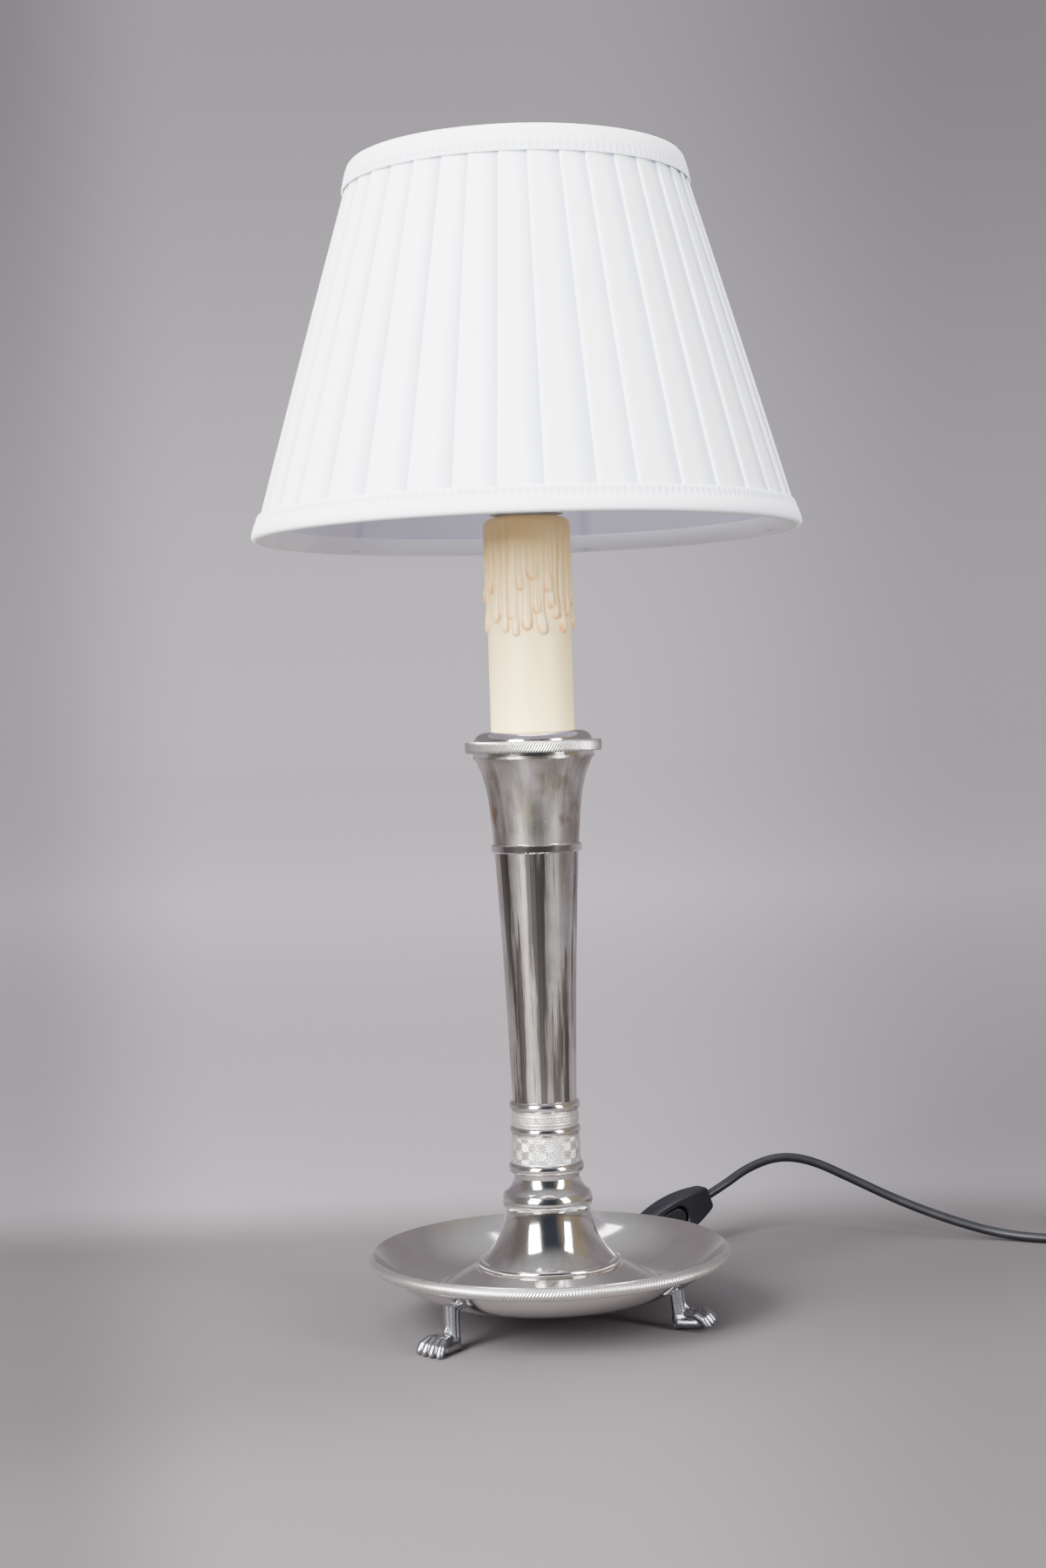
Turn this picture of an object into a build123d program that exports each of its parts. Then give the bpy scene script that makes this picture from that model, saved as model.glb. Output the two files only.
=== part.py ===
from build123d import *

import os
from math import atan2, cos, dist, pi, radians, sin, tan

# A silver-plated table lamp in the form of a candlestick. Millimetres, +Z up. The origin is on
# the lamp's axis, at the height of the surface that its three feet stand on. Seen from the
# front, which is -Y, the mains cord leaves under the dish towards the back and runs off to +X.

os.makedirs("parts", exist_ok=True)

# ---------------------------------------------------------------- driving sizes
seat_gap = 0.1             # between faces that turn or lift on each other
running_gap = 0.05         # radial, a pin or screw thread in its bore
sleeve_gap = 0.3           # radial, a loose sleeve round its spigot

# dish and feet
dish_sheet = 1.3           # height of the sheet, measured upright
dish_edge_r = 82.0         # edge of the sheet
dish_edge_z = 36.3         # top of that edge
trough_r = 55.5            # lowest ring of the dish
trough_z = 17.8
bowl_sag = (1.56, 2.08)    # how far the dish's wall hangs outwards and down from a straight cone
foot_seat_r = 34.4         # flat in the middle that carries the foot
foot_seat_z = 28.3
rope_height = 5.7
rope_depth = 2.5
rope_drop = 0.3            # top of the rope border below the top of the edge

foot_count = 3
first_foot_angle = 104.0
leg_ring_r = 62.5          # the legs stand on this circle
leg_radial = 6.0
leg_width = 6.7
leg_round = 1.6
toe_count = 4
toe_r = 2.1
toe_spread = 15.0          # degrees between toes
toe_root = 11.0            # from the leg's axis to where the toes start
paw_width = 9.6
paw_waist = 4.6            # length of the instep from the leg's axis
heel_height = 7.0
sole_height = 6.05
instep_r = (2.68, 4.62)    # half width and half height of the instep
instep_z = 5.04
toe_gap = 2.087            # between toes where they start
toe_drop = 0.12            # how much a toe falls along its length
toe_start_z = 3.045
toe_reach = 10.9           # length of a toe from the end of the instep
knuckle_at = 4.73
knuckle_rise = 0.945

# threaded rod that holds the stem together, and what is on it
rod_r = 5.0
rod_bore_r = 3.2
rod_low_proud = 0.5        # below its lower nut
rod_high_proud = 3.0       # above the floor of the lampholder
nut_flats = 14.0
nut_height = 5.0
thin_nut_height = 2.8
washer_r = 11.0
washer_height = 0.9

# stem: heights where one turned piece ends and the next begins, from the dish upwards
bell_top_z = 55.7
foot_bead_top_z = 62.8
scotia_top_z = 72.0
lower_ring_top_z = 76.8
lattice_top_z = 89.6
middle_ring_top_z = 93.8
key_band_top_z = 100.7
upper_ring_top_z = 105.5
tube_top_z = 221.0
stem_band_top_z = 225.0
trumpet_top_z = 265.7
knurl_low_z = 267.4
knurl_top_z = 272.6
cap_top_z = 277.0

stem_wall = 1.2
step_ring_r = 33.6
step_ring_height = 3.4
step_round = 0.8           # how far the step ring's foot is drawn in
step_lip = 1.2             # how far its top is drawn in
bell_low_r = 30.6
bell_mid_r = 23.4
bell_top_r = 19.7
bell_mid_share = 0.42      # how far up the bell its middle radius is measured
bell_inner_share = 0.4
foot_bead_r = 21.1
scotia_low_r = 20.0        # of the bead's shoulder, which the scotia starts inside
scotia_foot_r = 19.8
scotia_side_r = 16.2
scotia_side_drop = 5.0     # below the scotia's top
scotia_waist_r = 15.3
scotia_waist_drop = 2.2
collar_core_r = 13.2       # bore of the turned rings
ring_shoulder_r = 15.6
lower_ring_r = 17.7
lower_shoulder_r = 16.5
middle_ring_r = 16.6
upper_ring_r = 16.7
lattice_low_r = 16.2
lattice_high_r = 15.9
key_band_r = 15.8
key_groove_r = 15.3
key_groove_height = 1.2
tube_low_r = 15.1
tube_mid_r = 17.3
tube_mid_share = 0.6       # how far up the tube its middle radius is measured
tube_high_r = 19.6
stem_band_r = 21.1
trumpet_low_r = 19.9
trumpet_waist_r = 21.2
trumpet_waist_share = 0.41  # how far up the trumpet that radius is measured
trumpet_flare_r = 24.2
trumpet_flare_share = 0.80
trumpet_mouth_r = 27.6
mouth_bead_r = 28.3
mouth_bead_height = 1.2
cap_lip_r = 28.2
knurl_seat_r = 27.4
knurl_r = 31.8
cap_dome_r = 27.8
cap_dome_side = (25.6, 1.1)  # radius of the dome's side, and its depth below the cap's top
cap_dome_edge = 1.0        # between the dome and the candle sleeve
cap_wall = 1.4

# candle sleeve
sleeve_r = 19.4
sleeve_wall = 1.6
sleeve_length = 98.6
sleeve_shoulder = 3.4
sleeve_mouth_r = 15.0
spigot_height = 3.0
drip_proud = 0.9           # how far a wax drip stands out of the sleeve
drips = (                  # angle, radius, length below the sleeve's shoulder
    (262.0, 2.1, 47.0),
    (286.0, 1.6, 33.0),
    (306.0, 2.2, 44.0),
    (331.0, 1.7, 50.0),
    (354.0, 2.0, 38.0),
    (17.0, 1.6, 46.0),
    (42.0, 2.2, 30.0),
    (68.0, 1.8, 48.0),
    (95.0, 2.1, 41.0),
    (121.0, 1.6, 50.0),
    (146.0, 2.2, 35.0),
    (171.0, 1.9, 45.0),
    (196.0, 2.2, 46.0),
    (218.0, 1.6, 31.0),
    (239.0, 2.0, 49.0),
)

# lampholder and bulb
holder_base_z = 348.0
holder_base_height = 16.0
holder_base_r = 13.5
holder_wall = 1.5
holder_chamfer = 1.0
skirt_r = 14.0
skirt_wall = 1.8
skirt_height = 41.0
skirt_lip_r = 9.6
skirt_lip = 1.5
insert_height = 18.0
screw_shell_r = 7.6
screw_shell_wall = 0.45
screw_shell_height = 28.0
contact_width = 4.0
contact_length = 9.0
contact_height = 1.0
bulb_r = 22.5
bulb_neck_r = 8.2
bulb_neck_side = (9.8, 6.5)  # radius, and height above the bulb's cap
bulb_joint_angle = -38.0   # where the neck meets the globe, seen from the globe's middle
bulb_side_angle = 26.0
bulb_cap_r = screw_shell_r - screw_shell_wall - running_gap
bulb_cap_height = 22.5
bulb_contact_r = 3.2
bulb_contact_height = 2.5
bulb_contact_chamfer = 1.0
bulb_cap_chamfer = 2.0
contact_strip_height = 4.9
bulb_centre_rise = 31.0    # from the cap's top to the middle of the globe

# shade carrier, held on the lampholder by the shade ring
seat_ring_rise = 1.5       # seat ring above the candle sleeve's top
seat_ring_height = 4.5
seat_ring_r = 17.0
carrier_base_height = 2.0
carrier_base_r = 24.0
shade_ring_height = 5.0
carrier_wire_r = 1.2
carrier_foot_r = 21.0
carrier_ring_r = 45.0
carrier_ring_width = 6.0
carrier_ring_height = 2.0
carrier_ring_drop = 40.0   # how far the carrier's top ring lies below the shade's top
carrier_low_share = 0.1447  # height of the legs' lower bend, as a share of the way up to the ring
carrier_high_share = 0.4722
leg_count = 3
first_leg_angle = 30.0

# shade
shade_low_z = 368.5
shade_high_z = 538.0
shade_low_r = 125.0        # outside of the cover between its pleats
shade_high_r = 75.4
cover_thickness = 1.0
pleat_count = 38
pleat_depth = 0.9
frame_wire_r = 1.5
strut_r = 1.2
layer_gap = 0.3            # between cover, frame and lining
lining_thickness = 0.4
strut_count = 6
first_strut_angle = 15.0
top_tape_height = 12.0
bottom_tape_height = 11.0
tape_thickness = 0.7
tape_turn_in = 7.0         # height of the tape folded to the inside
spider_arm_count = 3
first_arm_angle = 60.0
spider_ring_height = 1.9
spider_lip = 4.0           # how far the spider's collar hangs round the carrier ring
spider_wall = 1.7
spider_ring_inner_r = 42.0

# cup under the dish, where the cord comes out
cup_r = 17.0
cup_wall = 1.8
cup_low_z = 8.6
cover_height = 1.2
cover_hole_r = 1.5
outlet_angle = 80.0
outlet_z = 12.6
boot_length = 26.0
boot_low_r = 4.0
boot_tip_r = 3.3

# mains cord
cord_d = 4.8
cord_clear = 0.05          # under the cord where it lies
cord_r = cord_d / 2
lying_z = cord_r + cord_clear
straight_end = 12.0        # of the cord's route, square to what it meets
bend_share = 0.45          # share of the shorter run that a bend of the cord may take up

# inline switch, tipped up towards its far end
switch_length = 51.5
switch_width = 20.5
switch_end_width = 12.0
switch_crown = 6.5         # half its thickness in the middle
switch_tip = 4.2           # half its thickness at the ends
switch_round = 1.8
switch_corner_r = 2.8
switch_wall = 1.6
switch_heading = 30.0
switch_tilt = 20.7
switch_exit = (86.2, 165.0, 24.9)
recess_length = 17.0
recess_width = 11.5
recess_bevel = 1.0
bevel_angle = 45.0
rocker_gap = 0.8
rocker_pivot_z = 1.0       # these heights are measured from the joint of the two halves
rocker_top_z = 5.0
rocker_low_z = -2.2
rocker_round = 0.8
rocker_swing = 14.0
rocker_pin_r = 0.9
screw_place = 19.0         # from the middle of the switch
screw_r = 1.2
screw_head_r = 2.2
screw_head_height = 1.2
screw_seat = 3.6           # depth of the head's seat below the joint
screw_grip = 3.0           # how far a screw reaches into the cover
screw_post_r = 3.0
contact_place = 13.0       # from the middle of the switch
contact_block = (4.0, 4.0)
contact_top = 1.2          # below the joint

# coil of spare cord and plug
coil_entry = (322.0, 130.0)
coil_inner_r = 24.0
coil_gap = 0.5             # between neighbouring turns
coil_half_turns = 6        # in each of its two layers
coil_sample = 2.0          # distance between the points its gap is measured on
tail_length = 26.0
plug_boot_length = 20.0
plug_boot_r = 4.2
plug_boot_tip_r = 3.2
plug_length = 36.0
plug_width = 35.3
plug_rear_width = 15.0
plug_height = 13.7
plug_rear_height = 10.5
plug_straight = 14.0       # length of the body's full section
plug_round = 4.0
pin_r = 2.0
pin_length = 19.0
pin_spacing = 18.6
pin_root = 8.0
pin_round = 1.4


# ---------------------------------------------------------------- small helpers
def place_on_circle(radius, angle, z=0.0):
    """The point at a radius and an angle in degrees round the lamp's axis."""
    return (radius * cos(radians(angle)), radius * sin(radians(angle)), z)


def turned(outline):
    """A piece turned round the lamp's axis from corners given as (radius, height)."""
    with BuildPart() as piece:
        with BuildSketch(Plane.XZ):
            with BuildLine():
                Polyline(*outline, close=True)
            make_face()
        revolve(axis=Axis.Z)
    return piece


def bead_ring(low_z, high_z, shoulder_r, crown_r):
    """A turned ring with a round crown between two shoulders."""
    with BuildPart() as ring:
        with BuildSketch(Plane.XZ):
            with BuildLine():
                low, high = (shoulder_r, low_z), (shoulder_r, high_z)
                ThreePointArc(low, (crown_r, (low_z + high_z) / 2), high)
                Polyline(high, (collar_core_r, high_z), (collar_core_r, low_z), low)
            make_face()
        revolve(axis=Axis.Z)
    return ring


def flared_shell(points, wall):
    """A turned shell whose outside runs smoothly through points given as (radius, height)."""
    inside = [(r - wall, z) for r, z in points]
    with BuildPart() as shell:
        with BuildSketch(Plane.XZ):
            with BuildLine():
                Spline(*points)
                Line(points[-1], inside[-1])
                Spline(*reversed(inside))
                Line(inside[0], points[0])
            make_face()
        revolve(axis=Axis.Z)
    return shell


def hex_nut(low_z, height):
    """A hexagon nut on the threaded rod."""
    with BuildPart() as nut:
        with BuildSketch(Plane.XY.offset(low_z)):
            RegularPolygon(nut_flats / 2, 6, major_radius=False)
            Circle(rod_r, mode=Mode.SUBTRACT)
        extrude(amount=height)
    return nut


def flat_ring(low_z, height, outer_r, inner_r):
    """A flat ring round the lamp's axis."""
    with BuildPart() as ring:
        with BuildSketch(Plane.XY.offset(low_z)):
            Circle(outer_r)
            Circle(inner_r, mode=Mode.SUBTRACT)
        extrude(amount=height)
    return ring


def keep(piece, node):
    """Label a finished piece and write its STEP file."""
    piece.part.label = node
    export_step(piece.part, f"parts/{node}.step")


# ---------------------------------------------------------------- dish, rope border, feet
def dish_outline(drop):
    """Corners of the dish's top face, lowered by drop: centre, foot seat, trough, edge."""
    centre = (0.0, foot_seat_z - drop)
    seat = (foot_seat_r, foot_seat_z - drop)
    trough = (trough_r, trough_z - drop)
    edge = (dish_edge_r, dish_edge_z - drop)
    wall_middle = ((trough_r + edge[0]) / 2 + bowl_sag[0], (trough[1] + edge[1]) / 2 - bowl_sag[1])
    return centre, seat, trough, wall_middle, edge


with BuildPart() as dish:
    with BuildSketch(Plane.XZ):
        top = dish_outline(0.0)
        under = dish_outline(dish_sheet)
        with BuildLine():
            Polyline(top[0], top[1], top[2])
            ThreePointArc(top[2], top[3], top[4])
            Line(top[4], under[4])
            ThreePointArc(under[4], under[3], under[2])
            Polyline(under[2], under[1], under[0], top[0])
        make_face()
    revolve(axis=Axis.Z)
    with Locations((0, 0, foot_seat_z)):
        Hole(rod_r + running_gap, depth=dish_sheet * 2)
keep(dish, "dish")

rope_top_z = dish_edge_z - rope_drop
with BuildPart() as rope_rim:
    with BuildSketch(Plane.XZ):
        with BuildLine():
            rope_low = (dish_edge_r, rope_top_z - rope_height)
            rope_high = (dish_edge_r, rope_top_z)
            rope_crown = (dish_edge_r + rope_depth, rope_top_z - rope_height / 2)
            ThreePointArc(rope_low, rope_crown, rope_high)
            Line(rope_high, rope_low)
        make_face()
    revolve(axis=Axis.Z)
keep(rope_rim, "rope_rim")

# everything above the dish's underside, which trims the legs to the dish
with BuildPart() as above_dish:
    with BuildSketch(Plane.XZ):
        under = dish_outline(dish_sheet)
        ceiling_z = foot_seat_z + dish_sheet
        with BuildLine():
            Polyline(under[0], under[1], under[2])
            ThreePointArc(under[2], under[3], under[4])
            Polyline(under[4], (dish_edge_r, ceiling_z * 2), (0, ceiling_z * 2), under[0])
        make_face()
    revolve(axis=Axis.Z)

# one foot, on the X axis, toes outwards; the others are turned copies
with BuildPart() as paw_foot:
    with BuildSketch():
        with Locations((leg_ring_r, 0)):
            RectangleRounded(leg_radial, leg_width, leg_round)
    extrude(amount=foot_seat_z)
    with BuildSketch(Plane.YZ.offset(leg_ring_r)):
        with Locations((0, heel_height / 2)):
            RectangleRounded(leg_width, heel_height, leg_round)
    with BuildSketch(Plane.YZ.offset(leg_ring_r + toe_root)):
        with Locations((0, sole_height / 2)):
            RectangleRounded(paw_width, sole_height, leg_round)
    loft()
    with BuildSketch(Plane.YZ.offset(leg_ring_r)):
        with Locations((0, instep_z)):
            Ellipse(instep_r[0], instep_r[1])
    extrude(amount=paw_waist)
    for toe in range(toe_count):
        swing = (toe - (toe_count - 1) / 2) * toe_spread
        side = (toe - (toe_count - 1) / 2) * toe_gap
        toe_x = Vector(cos(radians(swing)), sin(radians(swing)), -toe_drop)
        toe_place = Plane(origin=(leg_ring_r + paw_waist, side, toe_start_z), z_dir=toe_x)
        with BuildSketch(toe_place):
            Circle(toe_r)
        extrude(amount=toe_reach)
        with Locations(toe_place.offset(toe_reach).origin):
            Sphere(toe_r)
        with Locations(toe_place.offset(knuckle_at).origin + Vector(0, 0, knuckle_rise)):
            Sphere(toe_r)
    split(bisect_by=Plane.XY)
    add(above_dish.part, mode=Mode.SUBTRACT)

foot_angles = [first_foot_angle + turn * 360 / foot_count for turn in range(foot_count)]
for angle, node in zip(foot_angles, ("paw_foot_back", "paw_foot_left", "paw_foot_right")):
    with BuildPart() as turned_foot:
        add(paw_foot.part.rotate(Axis.Z, angle))
    keep(turned_foot, node)

# ---------------------------------------------------------------- stem, from the dish upwards
with BuildPart() as bell_foot:
    with BuildSketch(Plane.XZ):
        step_top_z = foot_seat_z + step_ring_height
        bell_span = bell_top_z - step_top_z
        with BuildLine():
            Line((bell_low_r - stem_wall, foot_seat_z), (step_ring_r - step_round, foot_seat_z))
            crown = (step_ring_r, foot_seat_z + step_ring_height / 2)
            step_lip_at = (step_ring_r - step_lip, step_top_z)
            ThreePointArc((step_ring_r - step_round, foot_seat_z), crown, step_lip_at)
            Line(step_lip_at, (bell_low_r, step_top_z))
            bell_mid = (bell_mid_r, step_top_z + bell_span * bell_mid_share)
            ThreePointArc((bell_low_r, step_top_z), bell_mid, (bell_top_r, bell_top_z))
            inner_top = (bell_top_r - stem_wall * 2, bell_top_z)
            Line((bell_top_r, bell_top_z), inner_top)
            inner_mid = (bell_mid_r - stem_wall, step_top_z + bell_span * bell_inner_share)
            ThreePointArc(inner_top, inner_mid, (bell_low_r - stem_wall, foot_seat_z))
        make_face()
    revolve(axis=Axis.Z)
keep(bell_foot, "bell_foot")

foot_bead = bead_ring(bell_top_z, foot_bead_top_z, scotia_low_r, foot_bead_r)
keep(foot_bead, "foot_bead")

with BuildPart() as scotia_neck:
    with BuildSketch(Plane.XZ):
        with BuildLine():
            foot = (scotia_foot_r, foot_bead_top_z)
            waist = (scotia_waist_r, scotia_top_z - scotia_waist_drop)
            ThreePointArc(foot, (scotia_side_r, scotia_top_z - scotia_side_drop), waist)
            Polyline(
                waist,
                (ring_shoulder_r, scotia_top_z),
                (collar_core_r, scotia_top_z),
                (collar_core_r, foot_bead_top_z),
                foot,
            )
        make_face()
    revolve(axis=Axis.Z)
keep(scotia_neck, "scotia_neck")

lower_collar_ring = bead_ring(scotia_top_z, lower_ring_top_z, lower_shoulder_r, lower_ring_r)
keep(lower_collar_ring, "lower_collar_ring")

lattice_band = turned([
    (lattice_low_r, lower_ring_top_z),
    (lattice_high_r, lattice_top_z),
    (collar_core_r, lattice_top_z),
    (collar_core_r, lower_ring_top_z),
])
keep(lattice_band, "lattice_band")

middle_collar_ring = bead_ring(lattice_top_z, middle_ring_top_z, ring_shoulder_r, middle_ring_r)
keep(middle_collar_ring, "middle_collar_ring")

key_band = turned([
    (key_groove_r, middle_ring_top_z),
    (key_groove_r, middle_ring_top_z + key_groove_height),
    (key_band_r, middle_ring_top_z + key_groove_height),
    (key_band_r, key_band_top_z - key_groove_height),
    (key_groove_r, key_band_top_z - key_groove_height),
    (key_groove_r, key_band_top_z),
    (collar_core_r, key_band_top_z),
    (collar_core_r, middle_ring_top_z),
])
keep(key_band, "key_band")

upper_collar_ring = bead_ring(key_band_top_z, upper_ring_top_z, ring_shoulder_r, upper_ring_r)
keep(upper_collar_ring, "upper_collar_ring")

tube_mid_z = upper_ring_top_z + (tube_top_z - upper_ring_top_z) * tube_mid_share
tube_points = [(tube_low_r, upper_ring_top_z), (tube_mid_r, tube_mid_z), (tube_high_r, tube_top_z)]
stem_tube = flared_shell(tube_points, stem_wall)
keep(stem_tube, "stem_tube")

band_edge = 0.6
stem_band = turned([
    (rod_r + running_gap, tube_top_z),
    (stem_band_r - band_edge, tube_top_z),
    (stem_band_r, tube_top_z + band_edge),
    (stem_band_r, stem_band_top_z - band_edge),
    (stem_band_r - band_edge, stem_band_top_z),
    (rod_r + running_gap, stem_band_top_z),
])
keep(stem_band, "stem_band")

bead_low_z = trumpet_top_z - mouth_bead_height
trumpet_span = bead_low_z - stem_band_top_z
trumpet_points = [
    (trumpet_low_r, stem_band_top_z),
    (trumpet_waist_r, stem_band_top_z + trumpet_span * trumpet_waist_share),
    (trumpet_flare_r, stem_band_top_z + trumpet_span * trumpet_flare_share),
    (trumpet_mouth_r, bead_low_z),
]
trumpet_shell = flared_shell(trumpet_points, stem_wall)
with BuildPart() as trumpet:
    add(trumpet_shell.part)
    with BuildSketch(Plane.XY.offset(bead_low_z)):
        Circle(mouth_bead_r)
        Circle(trumpet_mouth_r - stem_wall, mode=Mode.SUBTRACT)
    extrude(amount=mouth_bead_height)
keep(trumpet, "trumpet")

spigot_r = sleeve_r - sleeve_wall - sleeve_gap
with BuildPart() as drip_cap:
    with BuildSketch(Plane.XZ):
        dome_foot = (cap_dome_r, knurl_top_z)
        dome_head = (sleeve_r + cap_dome_edge, cap_top_z)
        dome_side = (cap_dome_side[0], cap_top_z - cap_dome_side[1])
        with BuildLine():
            Polyline(
                (cap_lip_r - cap_wall, trumpet_top_z),
                (cap_lip_r, trumpet_top_z),
                (cap_lip_r, knurl_low_z),
                (knurl_seat_r, knurl_low_z),
                (knurl_seat_r, knurl_top_z),
                dome_foot,
            )
            ThreePointArc(dome_foot, dome_side, dome_head)
            Polyline(
                dome_head,
                (spigot_r, cap_top_z),
                (spigot_r, cap_top_z + spigot_height),
                (spigot_r - cap_wall, cap_top_z + spigot_height),
                (spigot_r - cap_wall, cap_top_z),
                (rod_r + running_gap, cap_top_z),
                (rod_r + running_gap, cap_top_z - cap_wall * 2),
                (cap_lip_r - cap_wall * 3, cap_top_z - cap_wall * 2),
                (cap_lip_r - cap_wall, knurl_low_z + cap_wall),
                (cap_lip_r - cap_wall, trumpet_top_z),
            )
        make_face()
    revolve(axis=Axis.Z)
keep(drip_cap, "drip_cap")

knurl_edge = 0.5
knurled_ring = turned([
    (knurl_seat_r, knurl_low_z),
    (knurl_r - knurl_edge, knurl_low_z),
    (knurl_r, knurl_low_z + knurl_edge),
    (knurl_r, knurl_top_z - knurl_edge),
    (knurl_r - knurl_edge, knurl_top_z),
    (knurl_seat_r, knurl_top_z),
])
keep(knurled_ring, "knurled_ring")

# ---------------------------------------------------------------- rod, nuts and washers
cup_top_z = foot_seat_z - dish_sheet
washer_low_z = cup_top_z - cup_wall - washer_height
base_washer = flat_ring(washer_low_z, washer_height, washer_r, rod_r)
top_washer = flat_ring(cap_top_z, washer_height, washer_r, rod_r)
with BuildPart() as rod_washers:
    add(base_washer.part)
    add(top_washer.part)
keep(rod_washers, "rod_washers")

base_nut_low_z = washer_low_z - thin_nut_height
base_nut = hex_nut(base_nut_low_z, thin_nut_height)
top_nut = hex_nut(cap_top_z + washer_height, nut_height)
holder_nut = hex_nut(holder_base_z - nut_height, nut_height)
with BuildPart() as rod_nuts:
    add(base_nut.part)
    add(top_nut.part)
    add(holder_nut.part)
keep(rod_nuts, "rod_nuts")

rod_low_z = base_nut_low_z - rod_low_proud
rod_high_z = holder_base_z + holder_wall + rod_high_proud
threaded_rod = flat_ring(rod_low_z, rod_high_z - rod_low_z, rod_r, rod_bore_r)
keep(threaded_rod, "threaded_rod")

# ---------------------------------------------------------------- cup and boot under the dish
outlet_dir = Vector(*place_on_circle(1.0, outlet_angle))
outlet_start = outlet_dir * (cup_r - cup_wall / 2) + Vector(0, 0, outlet_z)
outlet_plane = Plane(origin=outlet_start, z_dir=outlet_dir)
with BuildPart() as outlet_cup:
    with BuildSketch(Plane.XY.offset(cup_low_z)):
        Circle(cup_r)
    extrude(amount=cup_top_z - cup_low_z)
    with BuildSketch(Plane.XY.offset(cup_low_z)):
        Circle(cup_r - cup_wall)
    extrude(amount=cup_top_z - cup_low_z - cup_wall, mode=Mode.SUBTRACT)
    with BuildSketch(Plane.XY.offset(cup_low_z)):
        Circle(rod_r + running_gap)
    extrude(amount=cup_top_z - cup_low_z, mode=Mode.SUBTRACT)
    with BuildSketch(outlet_plane.offset(-cup_wall)):
        Circle(cord_r)
    extrude(amount=cup_wall * 3, mode=Mode.SUBTRACT)
keep(outlet_cup, "outlet_cup")

outlet_cover = flat_ring(cup_low_z, cover_height, cup_r - cup_wall, cover_hole_r)
keep(outlet_cover, "outlet_cover")

# the boot grips the cord and butts on the cup's wall
with BuildPart() as cord_boot:
    with BuildSketch(outlet_plane):
        Circle(boot_low_r)
    with BuildSketch(outlet_plane.offset(boot_length + cup_wall / 2)):
        Circle(boot_tip_r)
    loft()
    with BuildSketch(outlet_plane):
        Circle(cord_r)
    extrude(amount=boot_length, mode=Mode.SUBTRACT)
    add(outlet_cup.part, mode=Mode.SUBTRACT)
    with BuildSketch(Plane.XY.offset(cup_low_z)):
        Circle(cup_r)
    extrude(amount=cup_top_z - cup_low_z, mode=Mode.SUBTRACT)
keep(cord_boot, "cord_boot")

# cord inside the boot, the cup and the rod, up to the lampholder
insert_low_z = rod_high_z + holder_wall
with BuildPart() as inner_lead:
    with BuildLine() as lead_path:
        lead_start = outlet_dir * (cup_r + boot_length - cup_wall) + Vector(0, 0, outlet_z)
        lead_corner = Vector(0, 0, outlet_z)
        lead_end = Vector(0, 0, insert_low_z)
        FilletPolyline(lead_start, lead_corner, lead_end, radius=rod_low_z - outlet_z)
    with BuildSketch(Plane(origin=lead_start, z_dir=outlet_dir)):
        Circle(cord_r - running_gap)
    sweep()
keep(inner_lead, "inner_lead")

# ---------------------------------------------------------------- candle sleeve
sleeve_low_z = cap_top_z + seat_gap
sleeve_top_z = sleeve_low_z + sleeve_length
drip_top_z = sleeve_top_z - sleeve_shoulder
with BuildPart() as candle_sleeve:
    with BuildSketch(Plane.XY.offset(sleeve_low_z)):
        Circle(sleeve_r)
    extrude(amount=sleeve_length)
    fillet(candle_sleeve.edges().sort_by(Axis.Z)[-1], sleeve_shoulder)
    for angle, drip_r, length in drips:
        drip_foot = place_on_circle(sleeve_r + drip_proud - drip_r, angle, drip_top_z - length)
        with BuildSketch(Plane(origin=drip_foot)):
            Circle(drip_r)
        extrude(amount=length)
        with Locations(drip_foot):
            Sphere(drip_r)
        drip_head = place_on_circle(sleeve_r + drip_proud - drip_r, angle, drip_top_z)
        with Locations(drip_head):
            Sphere(drip_r)
    with BuildSketch(Plane.XY.offset(sleeve_low_z)):
        Circle(sleeve_r - sleeve_wall)
    extrude(amount=sleeve_length - sleeve_shoulder, mode=Mode.SUBTRACT)
    with BuildSketch(Plane.XY.offset(sleeve_low_z)):
        Circle(sleeve_mouth_r)
    extrude(amount=sleeve_length, mode=Mode.SUBTRACT)
keep(candle_sleeve, "candle_sleeve")

# ---------------------------------------------------------------- lampholder
holder_top_z = holder_base_z + holder_base_height
holder_base = turned([
    (rod_r, holder_base_z),
    (holder_base_r - holder_chamfer, holder_base_z),
    (holder_base_r, holder_base_z + holder_chamfer),
    (holder_base_r, holder_top_z),
    (holder_base_r - holder_wall, holder_top_z),
    (holder_base_r - holder_wall, holder_base_z + holder_wall),
    (rod_r, holder_base_z + holder_wall),
])
keep(holder_base, "holder_base")

insert_r = holder_base_r - holder_wall - sleeve_gap
insert_top_z = insert_low_z + insert_height
with BuildPart() as holder_insert:
    with BuildSketch(Plane.XY.offset(insert_low_z)):
        Circle(insert_r)
    extrude(amount=insert_height)
keep(holder_insert, "holder_insert")

with BuildPart() as centre_contact:
    with BuildSketch(Plane.XY.offset(insert_top_z)):
        Rectangle(contact_length, contact_width)
    extrude(amount=contact_height)
    with BuildSketch(Plane.XY.offset(insert_top_z)):
        Circle(contact_width / 2)
    extrude(amount=contact_strip_height - seat_gap)
keep(centre_contact, "centre_contact")

screw_shell = flat_ring(insert_top_z, screw_shell_height, screw_shell_r, screw_shell_r - screw_shell_wall)
keep(screw_shell, "screw_shell")

skirt_top_z = holder_top_z + skirt_height
holder_skirt = turned([
    (skirt_r - skirt_wall, holder_top_z),
    (skirt_r, holder_top_z),
    (skirt_r, skirt_top_z),
    (skirt_lip_r, skirt_top_z),
    (skirt_lip_r, skirt_top_z - skirt_lip),
    (skirt_r - skirt_wall, skirt_top_z - skirt_lip),
])
keep(holder_skirt, "holder_skirt")

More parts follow.
